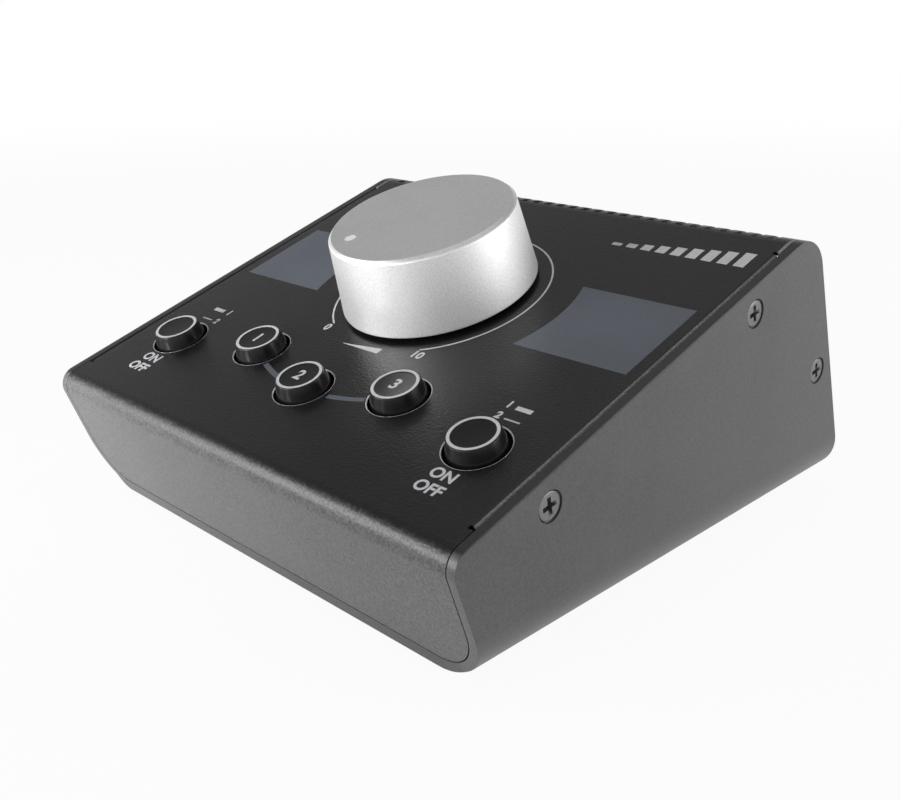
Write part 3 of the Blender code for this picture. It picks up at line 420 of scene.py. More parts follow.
def extruded(
    name: str, outline: Sequence[Point2], low: float, high: float, place: Matrix | None = None
) -> bpy.types.Object:
    """An object of one prism."""
    bm = bmesh.new()
    prism(bm, outline, low, high, place)
    return from_bmesh(name, bm)


def even_steps(start: float, end: float, steps: int) -> list[float]:
    """Values from a start to an end in even steps, with both of them."""
    return [start + (end - start) * step / steps for step in range(steps + 1)]


def rectangle(left: float, low: float, right: float, high: float) -> list[Point2]:
    """Outline of an upright rectangle, anticlockwise."""
    return [(left, low), (right, low), (right, high), (left, high)]


def fillet(radius: float, top: float, size: float, steps: int) -> list[Point2]:
    """Profile points of a round edge between the side and the top of a turned shape."""
    turns = even_steps(0.0, math.pi / 2, steps)
    return [(radius - size * (1 - math.cos(turn)), top - size * (1 - math.sin(turn))) for turn in turns]


def polygon(across_flats: float, sides: int) -> list[Point2]:
    """A regular outline with flat sides."""
    radius = across_flats / 2 / math.cos(math.pi / sides)
    turns = [math.tau * (step + 1 / 2) / sides for step in range(sides)]
    return [(radius * math.cos(turn), radius * math.sin(turn)) for turn in turns]


def band(centre: Point2, inner: float, outer: float, start: float, end: float, steps: int) -> list[Point2]:
    """Outline of a part of a ring.

    Args:
        centre: its middle.
        inner: its inner radius.
        outer: its outer radius.
        start: angle of its start, anticlockwise from X.
        end: angle of its end.
        steps: steps of each arc.

    Returns:
        The closed outline.
    """
    turns = even_steps(start, end, steps)
    out = [(centre[0] + outer * math.cos(t), centre[1] + outer * math.sin(t)) for t in turns]
    back = [(centre[0] + inner * math.cos(t), centre[1] + inner * math.sin(t)) for t in reversed(turns)]
    return out + back


def place_piece(
    piece: bpy.types.Object, body: str, slot: Slot, material: bpy.types.Material, replaced: Iterable[str] = ()
) -> None:
    """Dress a finished piece and fix it to its body.

    Args:
        piece: the piece, its place in its mesh.
        body: the body that it rides on.
        slot: the record's finish; not used.
        material: what it is dressed in.
        replaced: the solids that it stands for.
    """
    piece.data.materials.clear()
    piece.data.materials.append(material)
    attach(piece, body)
    names = list(replaced)
    if names:
        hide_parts(*names)
    LOG.info("%s on %s, %d faces, in place of %d solids", piece.name, body, len(piece.data.polygons), len(names))


def place_print(name: str, bm: bmesh.types.BMesh, body: str, material: bpy.types.Material) -> None:
    """Finish a printed or painted piece, which stands for no solid."""
    printed = from_bmesh(name, bm)
    smooth(printed, weighted=False)
    place_piece(printed, body, Slot.GREY_PLASTIC, material)


# Shader tools


class Wiring:
    """Adds nodes to one node tree and joins them."""

    def __init__(self, tree: bpy.types.NodeTree) -> None:
        """Keep the tree."""
        self.tree = tree

    def node(self, kind: str, settings: dict | None = None, inputs: dict | None = None) -> bpy.types.Node:
        """Add one node.

        Args:
            kind: the node's type name.
            settings: values of the node's own options.
            inputs: a value or an output to join, for each input by name or number.

        Returns:
            The node.
        """
        made = self.tree.nodes.new(kind)
        for name, value in (settings or {}).items():
            setattr(made, name, value)
        for name, value in (inputs or {}).items():
            self.join(value, made.inputs[name])
        return made

    def join(self, value: object, socket: bpy.types.NodeSocket) -> None:
        """Bring a value or an output to an input."""
        if isinstance(value, bpy.types.NodeSocket):
            self.tree.links.new(value, socket)
        else:
            socket.default_value = value

    def math(self, operation: str, first: object, second: object = 0.0, clamp: bool = False) -> bpy.types.NodeSocket:
        """One sum, and its result."""
        made = self.node("ShaderNodeMath", {"operation": operation, "use_clamp": clamp}, {0: first, 1: second})
        return made.outputs[0]

    def ramp(
        self, value: object, low: float, high: float, bottom: object = 0.0, top: object = 1.0
    ) -> bpy.types.NodeSocket:
        """A value taken from one range to another, smoothly and with its ends held."""
        settings = {"interpolation_type": "SMOOTHSTEP"}
        inputs = {"Value": value, "From Min": low, "From Max": high, "To Min": bottom, "To Max": top}
        return self.node("ShaderNodeMapRange", settings, inputs).outputs[0]

    def noise(self, spot: object, scale: object, detail: float, roughness: float = 0.5) -> bpy.types.NodeSocket:
        """Soft noise at a place."""
        inputs = {"Vector": spot, "Scale": scale, "Detail": detail, "Roughness": roughness}
        return self.node("ShaderNodeTexNoise", None, inputs).outputs[0]

    def swing(self, share: object, width: float) -> bpy.types.NodeSocket:
        """A share from zero to one, made a change to both sides of zero."""
        return self.math("MULTIPLY", self.math("SUBTRACT", share, 0.5), width)

    def local(self, place: Matrix) -> tuple[bpy.types.NodeSocket, bpy.types.Node]:
        """Object coordinates, and the same split up in the frame of a place."""
        spot = self.node("ShaderNodeTexCoord").outputs["Object"]
        inputs = {"Vector": spot, "Location": place.to_translation(), "Rotation": place.to_euler()}
        mapped = self.node("ShaderNodeMapping", {"vector_type": "TEXTURE"}, inputs)
        return spot, self.node("ShaderNodeSeparateXYZ", None, {0: mapped.outputs[0]})

    def blend(self, share: object, first: object, second: object) -> bpy.types.NodeSocket:
        """A mix of two colours."""
        made = self.node("ShaderNodeMix", {"data_type": "RGBA"})
        for name, value in (("Factor_Float", share), ("A_Color", first), ("B_Color", second)):
            self.join(value, next(s for s in made.inputs if s.identifier == name))
        return next(s for s in made.outputs if s.identifier == "Result_Color")


def new_material(name: str) -> tuple[bpy.types.Material, Wiring, bpy.types.Node]:
    """A material with nodes, its wiring and its main shader."""
    material = bpy.data.materials.new(name)
    material.use_nodes = True
    return material, Wiring(material.node_tree), material.node_tree.nodes["Principled BSDF"]


def shader_group(name: str, inputs: dict[str, float], outputs: Sequence[str]) -> tuple[Wiring, dict, dict]:
    """An empty shader node group with named sockets.

    Args:
        name: the group's name.
        inputs: value inputs with their defaults.
        outputs: value outputs.

    Returns:
        The group's wiring, its inputs inside by name, and its output sockets by name.
    """
    tree = bpy.data.node_groups.new(name, "ShaderNodeTree")
    for title, value in inputs.items():
        tree.interface.new_socket(title, in_out="INPUT", socket_type="NodeSocketFloat").default_value = value
    for title in outputs:
        tree.interface.new_socket(title, in_out="OUTPUT", socket_type="NodeSocketFloat")
    wiring = Wiring(tree)
    arriving = wiring.node("NodeGroupInput")
    leaving = wiring.node("NodeGroupOutput")
    return wiring, {title: arriving.outputs[title] for title in inputs}, {t: leaving.inputs[t] for t in outputs}


def make_grain_group() -> bpy.types.NodeTree:
    """The fine grain of a coat, a moulding or blasted metal, with wide clouds over it."""
    wiring, given, made = shader_group(
        "fine_grain", {"Grain Scale": 3000.0, "Cloud Scale": 60.0}, ("Height", "Speckle", "Cloud")
    )
    spot = wiring.node("ShaderNodeTexCoord").outputs["Object"]
    grain = wiring.noise(spot, given["Grain Scale"], detail=1.5, roughness=0.6)
    finer = wiring.math("MULTIPLY", given["Grain Scale"], 1.3)
    speck = wiring.noise(spot, finer, detail=1.0)
    cloud = wiring.noise(spot, given["Cloud Scale"], detail=2.0)
    wiring.join(grain, made["Height"])
    for title, value in (("Speckle", speck), ("Cloud", cloud)):
        wiring.join(wiring.ramp(value, NOISE_LOW, NOISE_HIGH), made[title])
    return wiring.tree


def make_turning_group() -> bpy.types.NodeTree:
    """Faint rings left by a lathe tool, from the distance to the turning axis."""
    defaults = {"Radius": 0.0, "Pitch": 0.0004, "Unevenness": 0.5}
    wiring, given, made = shader_group("turning_marks", defaults, ("Height",))
    turns = wiring.math("DIVIDE", given["Radius"], given["Pitch"])
    noise = wiring.node("ShaderNodeTexNoise", {"noise_dimensions": "1D"}, {"W": turns, "Scale": 1.0, "Detail": 2.0})
    wave = wiring.math("SINE", wiring.math("MULTIPLY", turns, math.tau))
    even = wiring.math("MULTIPLY", wiring.math("ADD", wave, 1.0), 0.5)
    kept = wiring.math("SUBTRACT", 1.0, given["Unevenness"])
    rings = wiring.math("MULTIPLY", even, kept)
    height = wiring.math("ADD", rings, wiring.math("MULTIPLY", noise.outputs[0], given["Unevenness"]))
    wiring.join(height, made["Height"])
    return wiring.tree


class EffectGroups:
    """The shader node groups that several finishes share."""

    def __init__(self) -> None:
        """Build each group once."""
        self.grain = make_grain_group()
        self.turning = make_turning_group()

    @staticmethod
    def put(wiring: Wiring, tree: bpy.types.NodeTree, inputs: dict) -> bpy.types.Node:
        """Place a group in a material, with its own values."""
        return wiring.node("ShaderNodeGroup", {"node_tree": tree}, inputs)


@dataclass(frozen=True)
class Finish:
    """A surface with fine grain, and what all finishes share."""

    name: str
    colour: Colour
    roughness: float
    metallic: float = 0.0
    specular: float = 0.5
    grain: float = 0.00035
    depth: float = 0.00001
    speckle: float = 0.10
    cloud_size: float = 0.020
    cloud: float = 0.06

    def build(self, groups: EffectGroups) -> bpy.types.Material:
        """The material, with its nodes.

        Args:
            groups: the shared node groups.

        Returns:
            The new material.
        """
        material, wiring, shader = new_material(self.name)
        shader.inputs["Metallic"].default_value = self.metallic
        shader.inputs["Specular IOR Level"].default_value = self.specular
        scales = {"Grain Scale": 1 / self.grain, "Cloud Scale": 1 / self.cloud_size}
        grain = groups.put(wiring, groups.grain, scales)
        base = self.tint(wiring)
        change = wiring.swing(grain.outputs["Speckle"], 2 * self.speckle)
        drift = wiring.swing(grain.outputs["Cloud"], 2 * self.cloud)
        level = wiring.math("ADD", wiring.math("ADD", change, drift), 1.0)
        colour = wiring.node("ShaderNodeVectorMath", {"operation": "SCALE"}, {0: base, "Scale": level})
        wiring.join(colour.outputs[0], shader.inputs["Base Color"])
        even = self.polish(wiring)
        rough = wiring.math("ADD", wiring.math("MULTIPLY", drift, even), even, clamp=True)
        wiring.join(rough, shader.inputs["Roughness"])
        height = self.relief(wiring, groups, grain.outputs["Height"])
        bump = wiring.node("ShaderNodeBump", None, {"Strength": 1.0, "Distance": self.depth, "Height": height})
        wiring.join(bump.outputs[0], shader.inputs["Normal"])
        return material

    def tint(self, wiring: Wiring) -> object:
        """The base colour before its grain."""
        return self.colour

    def polish(self, wiring: Wiring) -> object:
        """The roughness before its clouds."""
        return self.roughness

    def relief(self, wiring: Wiring, groups: EffectGroups, grain: bpy.types.NodeSocket) -> bpy.types.NodeSocket:
        """The height that the bump follows."""
        return grain


@dataclass(frozen=True)
class PanelCoat(Finish):
    """The sheet's coat, one coat on every face: coloured near black from the front bend to the rear bend as painted
    shade on the faces that look up, bare on the other faces, with a painted highlight strip along the side bends.
    """

    bare_colour: Colour = (0.12, 0.12, 0.12)
    border: float = 0.0010
    border_noise: float = 0.0010
    border_shift: float = 1.5
    border_end: float = 2.0
    # Where the painted shade of the upward faces begins and ends, up the slope from the front corner.
    shade_start: float = 0.0022
    shade_end: float = 0.1160
    # Depth below the panel's plane that the painted shade reaches (no limit at zero), and how far it fades.
    face_depth: float = 0.0
    face_fade: float = 4.0
    # A lighter strip along the side bends, from this inset and this distance up the slope, in this colour: a painted
    # highlight for the light line on the flange bends.
    highlight_inset: float = 0.0
    highlight_start: float = 0.0090
    highlight_colour: Colour = (0.23, 0.23, 0.23)

    def tint(self, wiring: Wiring) -> bpy.types.NodeSocket:
        """Near black on the sloping side as painted shade, the bare coat on the folded faces, and a painted highlight
        strip along the side bends.
        """
        # The near black share is painted shade: faces that look up get a darker colour than the folded faces of the
        # same coat.
        spot, split = wiring.local(CASE.panel())
        noise = wiring.noise(spot, 1 / self.border_noise, detail=3.0)
        up = wiring.math("ADD", split.outputs["Y"], wiring.swing(noise, self.border_shift * self.border))
        start = wiring.ramp(up, self.shade_start - self.border, self.shade_start + self.border)
        end = wiring.ramp(up, self.shade_end, self.shade_end + self.border_end * self.border, 1.0, 0.0)
        share = wiring.math("MULTIPLY", start, end)
        # Holds the painted shade to faces near the panel's plane; on the tray these are the side plates' top edges.
        if self.face_depth:
            face = wiring.ramp(split.outputs["Z"], -self.face_fade * self.face_depth, -self.face_depth)
            share = wiring.math("MULTIPLY", share, face)
        bare = (*self.bare_colour, 1.0)
        # The painted highlight: the near black is taken off a strip along the side bends, and the upper part of the
        # bend is made paler still.
        if self.highlight_inset:
            across = wiring.math("ABSOLUTE", split.outputs["X"])
            outer = CASE.cover_half - self.highlight_inset
            highlight_band = wiring.ramp(across, outer - self.highlight_inset / 3, outer)
            past = wiring.ramp(split.outputs["Y"], self.highlight_start - self.border, self.highlight_start)
            kept = wiring.math("SUBTRACT", 1.0, wiring.math("MULTIPLY", highlight_band, past))
            share = wiring.math("MULTIPLY", share, kept)
            # Palest part of the painted highlight, on the upper part of the bend.
            edge = wiring.ramp(split.outputs["Z"], -self.highlight_inset, -self.highlight_inset / 2)
            edge = wiring.math("MULTIPLY", edge, past)
            bare = wiring.blend(edge, bare, (*self.highlight_colour, 1.0))
        return wiring.blend(share, bare, (*self.colour, 1.0))


@dataclass(frozen=True)
class TurnedMetal(Finish):
    """Metal turned on a lathe and blasted, with faint rings about its axis."""

    axis: Matrix = field(default_factory=Matrix)
    pitch: float = 0.0004
    rings: float = 0.25
    unevenness: float = 0.7
    side_top: float = 0.0186
    side_roughness: float = 0.56

    def polish(self, wiring: Wiring) -> object:
        """Finer on the top than on the side."""
        up = wiring.local(self.axis)[1].outputs["Z"]
        return wiring.ramp(up, self.side_top, self.side_top + self.pitch, self.side_roughness, self.roughness)

    def relief(self, wiring: Wiring, groups: EffectGroups, grain: bpy.types.NodeSocket) -> bpy.types.NodeSocket:
        """Grain with turning marks in it."""
        split = wiring.local(self.axis)[1]
        across = wiring.math("MULTIPLY", split.outputs["X"], split.outputs["X"])
        upward = wiring.math("MULTIPLY", split.outputs["Y"], split.outputs["Y"])
        radius = wiring.math("SQRT", wiring.math("ADD", across, upward))
        along = wiring.math("ADD", radius, split.outputs["Z"])
        inputs = {"Radius": along, "Pitch": self.pitch, "Unevenness": self.unevenness}
        marks = groups.put(wiring, groups.turning, inputs)
        kept = wiring.math("MULTIPLY", grain, 1 - self.rings)
        return wiring.math("ADD", kept, wiring.math("MULTIPLY", marks.outputs["Height"], self.rings))


class Finishes:
    """Every finish of the controller, each built when it is first asked for."""

    def __init__(self, knob_axis: Matrix) -> None:
        """List the finishes.

        Args:
            knob_axis: the knob's place, with Z along its axis.
        """
        self.groups = EffectGroups()
        self.made: dict[str, bpy.types.Material] = {}
        listed = (
            # tray_coat's near black share darkens only the plates' top edges, as painted shade; cover_coat's darkens
            # the sloping top as painted shade and adds a painted highlight strip along the side bends.
            PanelCoat("tray_coat", (0.024, 0.024, 0.024), 0.32, grain=0.0006, depth=0.000028, speckle=0.14,
                      bare_colour=(0.104, 0.104, 0.108), face_depth=0.00012),
            PanelCoat("cover_coat", (0.008, 0.008, 0.008), 0.30, specular=0.45, grain=0.0006, depth=0.000080,
                      speckle=0.30, bare_colour=(0.106, 0.106, 0.106), highlight_inset=0.00066),
            TurnedMetal("knob_aluminium", (0.92, 0.92, 0.92), 0.40, metallic=1.0, grain=0.0004, depth=0.000006,
                        speckle=0.07, cloud=0.02, axis=knob_axis, rings=0.2),
            Finish("key_black", (0.010, 0.010, 0.011), 0.22, specular=0.30, depth=0.000002, speckle=0.02),
            Finish("ink_pale", (0.60, 0.61, 0.63), 0.55, speckle=0.10, depth=0.000004),
            Finish("ink_slate", (0.098, 0.112, 0.134), 0.42, speckle=0.12, depth=0.000010),
            Finish("paint_white", (0.98, 0.98, 0.98), 0.30, speckle=0.03),
            Finish("moulded_black", (0.020, 0.020, 0.021), 0.48, depth=0.000008, speckle=0.10),
            Finish("moulded_grey", (0.60, 0.60, 0.58), 0.50, speckle=0.05),
            Finish("screw_zinc", (0.22, 0.22, 0.225), 0.38, metallic=0.8, depth=0.000003, speckle=0.10),
            Finish("bright_nickel", (0.66, 0.655, 0.64), 0.26, metallic=1.0, depth=0.000002, speckle=0.04),
            Finish("spring_wire", (0.50, 0.50, 0.52), 0.28, metallic=1.0, depth=0.000002, speckle=0.05),
            Finish("cut_edge", (0.88, 0.88, 0.88), 0.60, metallic=1.0, depth=0.000002, speckle=0.05),
            Finish("track_board", (0.22, 0.12, 0.06), 0.60, speckle=0.12),
            Finish("solder_mask", (0.020, 0.110, 0.050), 0.35, speckle=0.08, cloud=0.12),
            Finish("flat_cable", (0.42, 0.42, 0.44), 0.55, speckle=0.04),
            Finish("foot_rubber", (0.018, 0.018, 0.018), 0.85, depth=0.000020, speckle=0.15),
        )
        self.listed = {finish.name: finish for finish in listed}

    def get(self, name: str) -> bpy.types.Material:
        """The material of one finish."""
        if name not in self.made:
            self.made[name] = self.listed[name].build(self.groups)
        return self.made[name]


# Geometry Nodes tools


@dataclass
class Repeat:
    """Copies of one small shape, set out by a Geometry Nodes tree and turned into a plain mesh."""

    name: str
    unit: bpy.types.Object
    material: bpy.types.Material

    def start(self, inputs: TreeInputs) -> tuple[Wiring, bpy.types.Node, dict[str, str]]:
        """A tree with its inputs.

        Args:
            inputs: socket type and value of each named input.

        Returns:
            The tree's wiring, its group input node, and each input's identifier.
        """
        tree = bpy.data.node_groups.new(f"{self.name}_layout", "GeometryNodeTree")
        tree.interface.new_socket("Geometry", in_out="OUTPUT", socket_type="NodeSocketGeometry")
        tree.interface.new_socket("Geometry", in_out="INPUT", socket_type="NodeSocketGeometry")
        keys = {}
        for title, (kind, _) in inputs.items():
            keys[title] = tree.interface.new_socket(title, in_out="INPUT", socket_type=kind).identifier
        wiring = Wiring(tree)
        return wiring, wiring.node("NodeGroupInput"), keys

    @staticmethod
    def step(wiring: Wiring, kind: str, inputs: dict) -> bpy.types.NodeSocket:
        """The first result of one new geometry node."""
        return wiring.node(f"GeometryNode{kind}", None, inputs).outputs[0]

    @staticmethod
    def copied(wiring: Wiring, given: bpy.types.Node) -> bpy.types.NodeSocket:
        """The shape that is copied."""
        return wiring.node("GeometryNodeObjectInfo", None, {"Object": given.outputs["Unit"]}).outputs["Geometry"]

    def close(self, wiring: Wiring, copies: bpy.types.NodeSocket, given: bpy.types.Node) -> None:
        """Realise the copies and give them their material."""
        solid = self.step(wiring, "RealizeInstances", {"Geometry": copies})
        dressed = self.step(wiring, "SetMaterial", {"Geometry": solid, "Material": given.outputs["Material"]})
        wiring.node("NodeGroupOutput", None, {0: dressed})

    def run(
        self, wiring: Wiring, keys: dict[str, str], inputs: TreeInputs, points: Sequence[Vector] = ()
    ) -> bpy.types.Object:
        """Evaluate the tree on a new object and keep the result as its plain mesh.

        Args:
            wiring: the tree's wiring.
            keys: each input's identifier.
            inputs: socket type and value of each named input.
            points: vertices for the tree to start from.

        Returns:
            The finished object.
        """
        mesh = bpy.data.meshes.new(self.name)
        mesh.from_pydata([tuple(point) for point in points], [], [])
        made = linked(self.name, mesh)
        layout = made.modifiers.new("layout", "NODES")
        layout.node_group = wiring.tree
        for title, (_, value) in inputs.items():
            layout[keys[title]] = value
        settle(made)
        return made

    def grid(self, columns: int, rows: int, column_pitch: float, row_pitch: float, place: Matrix) -> bpy.types.Object:
        """Copies in rows and columns about a place.

        Args:
            columns: copies along local X.
            rows: copies along local Y.
            column_pitch: spacing along X.
            row_pitch: spacing along Y.
            place: the middle of the grid and its turn.

        Returns:
            One object with all copies.
        """
        inputs = {
            "Unit": ("NodeSocketObject", self.unit),
            "Columns": ("NodeSocketInt", columns),
            "Rows": ("NodeSocketInt", rows),
            "Column Pitch": ("NodeSocketFloat", column_pitch),
            "Row Pitch": ("NodeSocketFloat", row_pitch),
            "Middle": ("NodeSocketVector", tuple(place.to_translation())),
            "Turn": ("NodeSocketRotation", tuple(place.to_euler())),
            "Material": ("NodeSocketMaterial", self.material),
        }
        wiring, given, keys = self.start(inputs)
        sizes = []
        for count, pitch in (("Columns", "Column Pitch"), ("Rows", "Row Pitch")):
            steps = wiring.math("SUBTRACT", given.outputs[count], 1.0)
            sizes.append(wiring.math("MULTIPLY", steps, given.outputs[pitch]))
        counts = {"Vertices X": given.outputs["Columns"], "Vertices Y": given.outputs["Rows"]}
        spots = self.step(wiring, "MeshGrid", {"Size X": sizes[0], "Size Y": sizes[1], **counts})
        copies = self.step(wiring, "InstanceOnPoints", {"Points": spots, "Instance": self.copied(wiring, given)})
        turn = {"Translation": given.outputs["Middle"], "Rotation": given.outputs["Turn"]}
        self.close(wiring, self.step(wiring, "Transform", {"Geometry": copies, **turn}), given)
        return self.run(wiring, keys, inputs)

    def pairs(self, spots: Sequence[Vector], half_width: float, turn: float) -> bpy.types.Object:
        """Copies at spots on the right side of the case, and the same again on the left, all facing out.

        Args:
            spots: places on the middle plane of the case.
            half_width: distance of each copy from that plane.
            turn: turn of each copy about its own axis.

        Returns:
            One object with all copies.
        """
        inputs = {
            "Unit": ("NodeSocketObject", self.unit),
            "Half Width": ("NodeSocketFloat", half_width),
            "Turn": ("NodeSocketFloat", turn),
            "Material": ("NodeSocketMaterial", self.material),
        }
        wiring, given, keys = self.start(inputs)
        spin = wiring.node("ShaderNodeCombineXYZ", None, {"Z": given.outputs["Turn"]}).outputs[0]
        unit = self.step(wiring, "Transform", {"Geometry": self.copied(wiring, given), "Rotation": spin})
        joined = wiring.node("GeometryNodeJoinGeometry")
        for side in (1, -1):
            tip = Euler((0.0, side * math.pi / 2, 0.0))
            tipped = self.step(wiring, "Transform", {"Geometry": unit, "Rotation": tip})
            reach = wiring.math("MULTIPLY", given.outputs["Half Width"], side)
            offset = wiring.node("ShaderNodeCombineXYZ", None, {"X": reach}).outputs[0]
            moved = self.step(wiring, "SetPosition", {"Geometry": given.outputs["Geometry"], "Offset": offset})
            copies = self.step(wiring, "InstanceOnPoints", {"Points": moved, "Instance": tipped})
            wiring.join(copies, joined.inputs[0])
        self.close(wiring, joined.outputs[0], given)
        return self.run(wiring, keys, inputs, spots)


def drop(unit: bpy.types.Object) -> None:
    """Remove a helper that is no longer needed."""
    bpy.data.objects.remove(unit)


# Sub-assemblies


@dataclass
class Tray:
    """The floor and the two side plates: one sheet with two large bends."""

    edge: float = 0.00018
    bend_steps: int = 20
    countersink_radius: float = 0.0032
    countersink_wall: float = 0.0005
    countersink_depth: float = 0.0016
    hole_radius: float = 0.0018
    hole_steps: int = 40

    def front_y(self, z: float) -> float:
        """Front edge of the sheet at a height."""
        return -max(z - CASE.tray_sheet, 0.0) * math.tan(CASE.front_lean)

    def rear_y(self, z: float) -> float:
        """Rear edge of the sheet at a height."""
        return CASE.base_depth - max(z - CASE.tray_sheet, 0.0) * math.tan(CASE.rear_lean)

    def stations(self) -> list[tuple[Vector, Vector]]:
        """Outer and inner points of the section in X and Z, from the right plate round to the left one."""
        centre_x = CASE.tray_half - CASE.tray_bend
        made = []
        for step in range(self.bend_steps + 1):
            turn = math.pi / 2 * (1 - step / self.bend_steps)
            ray = Vector((math.sin(turn), -math.cos(turn)))
            centre = Vector((centre_x, CASE.tray_bend))
            made.append((centre + ray * CASE.tray_bend, centre + ray * (CASE.tray_bend - CASE.tray_sheet)))
        mirrored = [tuple(Vector((-point.x, point.y)) for point in pair) for pair in reversed(made)]
        return made + mirrored

    def sheet(self) -> bpy.types.Object:
        """The bent and trimmed sheet."""
        bm = bmesh.new()

        def corner(point: Vector, y: float) -> bmesh.types.BMVert:
            """A vertex of the sheet at one point of the section."""
            return bm.verts.new(CASE.world(point.x, Vector((y, point.y))))

        rows = []
        for outer, inner in self.stations():
            rows.append([corner(p, edge(p.y)) for p in (outer, inner) for edge in (self.front_y, self.rear_y)])
        for row, following in zip(rows, rows[1:]):
            for first, second in ((0, 1), (2, 3), (0, 2), (1, 3)):
                bm.faces.new((row[first], row[second], following[second], following[first]))
        rim = CASE.front_arc() + CASE.rear_arc()
        for side, row in ((1, rows[0]), (-1, rows[-1])):
            loops = []
            for x, front, rear in ((CASE.tray_half, *row[:2]), (CASE.tray_half - CASE.tray_sheet, *row[2:])):
                above = [bm.verts.new(CASE.world(side * x, point)) for point in rim]
                loops.append([front, *above, rear])
                bm.faces.new(loops[-1])
            for index in range(len(rim) + 1):
                bm.faces.new((loops[0][index], loops[0][index + 1], loops[1][index + 1], loops[1][index]))
        sheet = from_bmesh("tray_shell", bm)
        soften(sheet, self.edge)
        return sheet

    def build(self, finishes: Finishes, screws: "SideScrews") -> None:
        """The tray with its countersunk holes."""
        tray = self.sheet()
        sink, hole, low = self.countersink_radius, self.hole_radius, -2 * CASE.tray_sheet
        cone = [(hole, -self.countersink_depth), (sink, -self.countersink_wall)]
        profile = [(0, low), (hole, low), *cone, (sink, OVERRUN), (0, OVERRUN)]
        unit = turned("countersink", profile, self.hole_steps)
        material = finishes.get("tray_coat")
        cutters = Repeat("countersinks", unit, material).pairs(screws.spots(), CASE.tray_half, 0.0)
        carve(tray, cutters)
        drop(unit)
        smooth(tray)
        place_piece(tray, Body.CASE.value, Slot.POWDER_COAT, material, ["base_tray"])


@dataclass
class SideScrews:
    """Countersunk cross-head screws in the side plates."""

    inset: float = 0.0062
    front_up: float = 0.0243
    rear_back: float = 0.0282
    low_drop: float = 0.0349
    head_radius: float = 0.0029
    head_height: float = 0.0015
    head_edge: float = 0.00025
    edge_steps: int = 3
    shank_radius: float = 0.0015
    length: float = 0.0064
    cross_length: float = 0.0037
    cross_width: float = 0.0010
    cross_depth: float = 0.0017
    cross_floor: float = 0.42
    sunk: float = 0.0002
    spin: float = math.radians(12.0)
    steps: int = 40

    def spots(self) -> list[Vector]:
        """Places of the screws of one side, on the middle plane of the case."""
        inward = CASE.normal * self.inset
        points = (
            CASE.front_corner + CASE.along * self.front_up - inward,
            CASE.rear_corner - CASE.along * self.rear_back - inward,
            CASE.rear_corner + CASE.rear_down * self.low_drop - CASE.rear_normal * self.inset,
        )
        return [CASE.world(0.0, point) for point in points]

    def screw(self) -> bpy.types.Object:
        """One screw about Z, its head's top at zero."""
        profile = [
            (0, -self.length),
            (self.shank_radius, -self.length),
            (self.shank_radius, -self.head_height),
            *fillet(self.head_radius, 0.0, self.head_edge, self.edge_steps),
            (0, 0),
        ]
        screw = turned("side_screw", profile, self.steps)
        bm = bmesh.new()
        arm, half = self.cross_length / 2, self.cross_width / 2
        rims = []
        widening = (1 - self.cross_floor) / self.cross_depth
        for z in (-self.cross_depth, OVERRUN):
            share = 1 + widening * z
            rim = []
            for turn in range(4):
                quarter = Matrix.Rotation(math.pi / 2 * turn, 2)
                for x, y in ((half, -arm * share), (half, -half), (arm * share, -half)):
                    rim.append(bm.verts.new((*(quarter @ Vector((x, y))), z)))
            rims.append(rim)
        bridge(bm, *rims)
        carve(screw, from_bmesh("cross_recess", bm))
        smooth(screw)
        return screw

    def build(self, finishes: Finishes) -> None:
        """All six screws, as one piece."""
        unit = self.screw()
        material = finishes.get("screw_zinc")
        screws = Repeat("side_screw_set", unit, material).pairs(self.spots(), CASE.tray_half - self.sunk, self.spin)
        drop(unit)
        nodes = [f"side_screw_{where}_{side}" for where in ("front", "rear", "low") for side in ("left", "right")]
        place_piece(screws, Body.CASE.value, Slot.BLACK_ZINC, material, nodes)


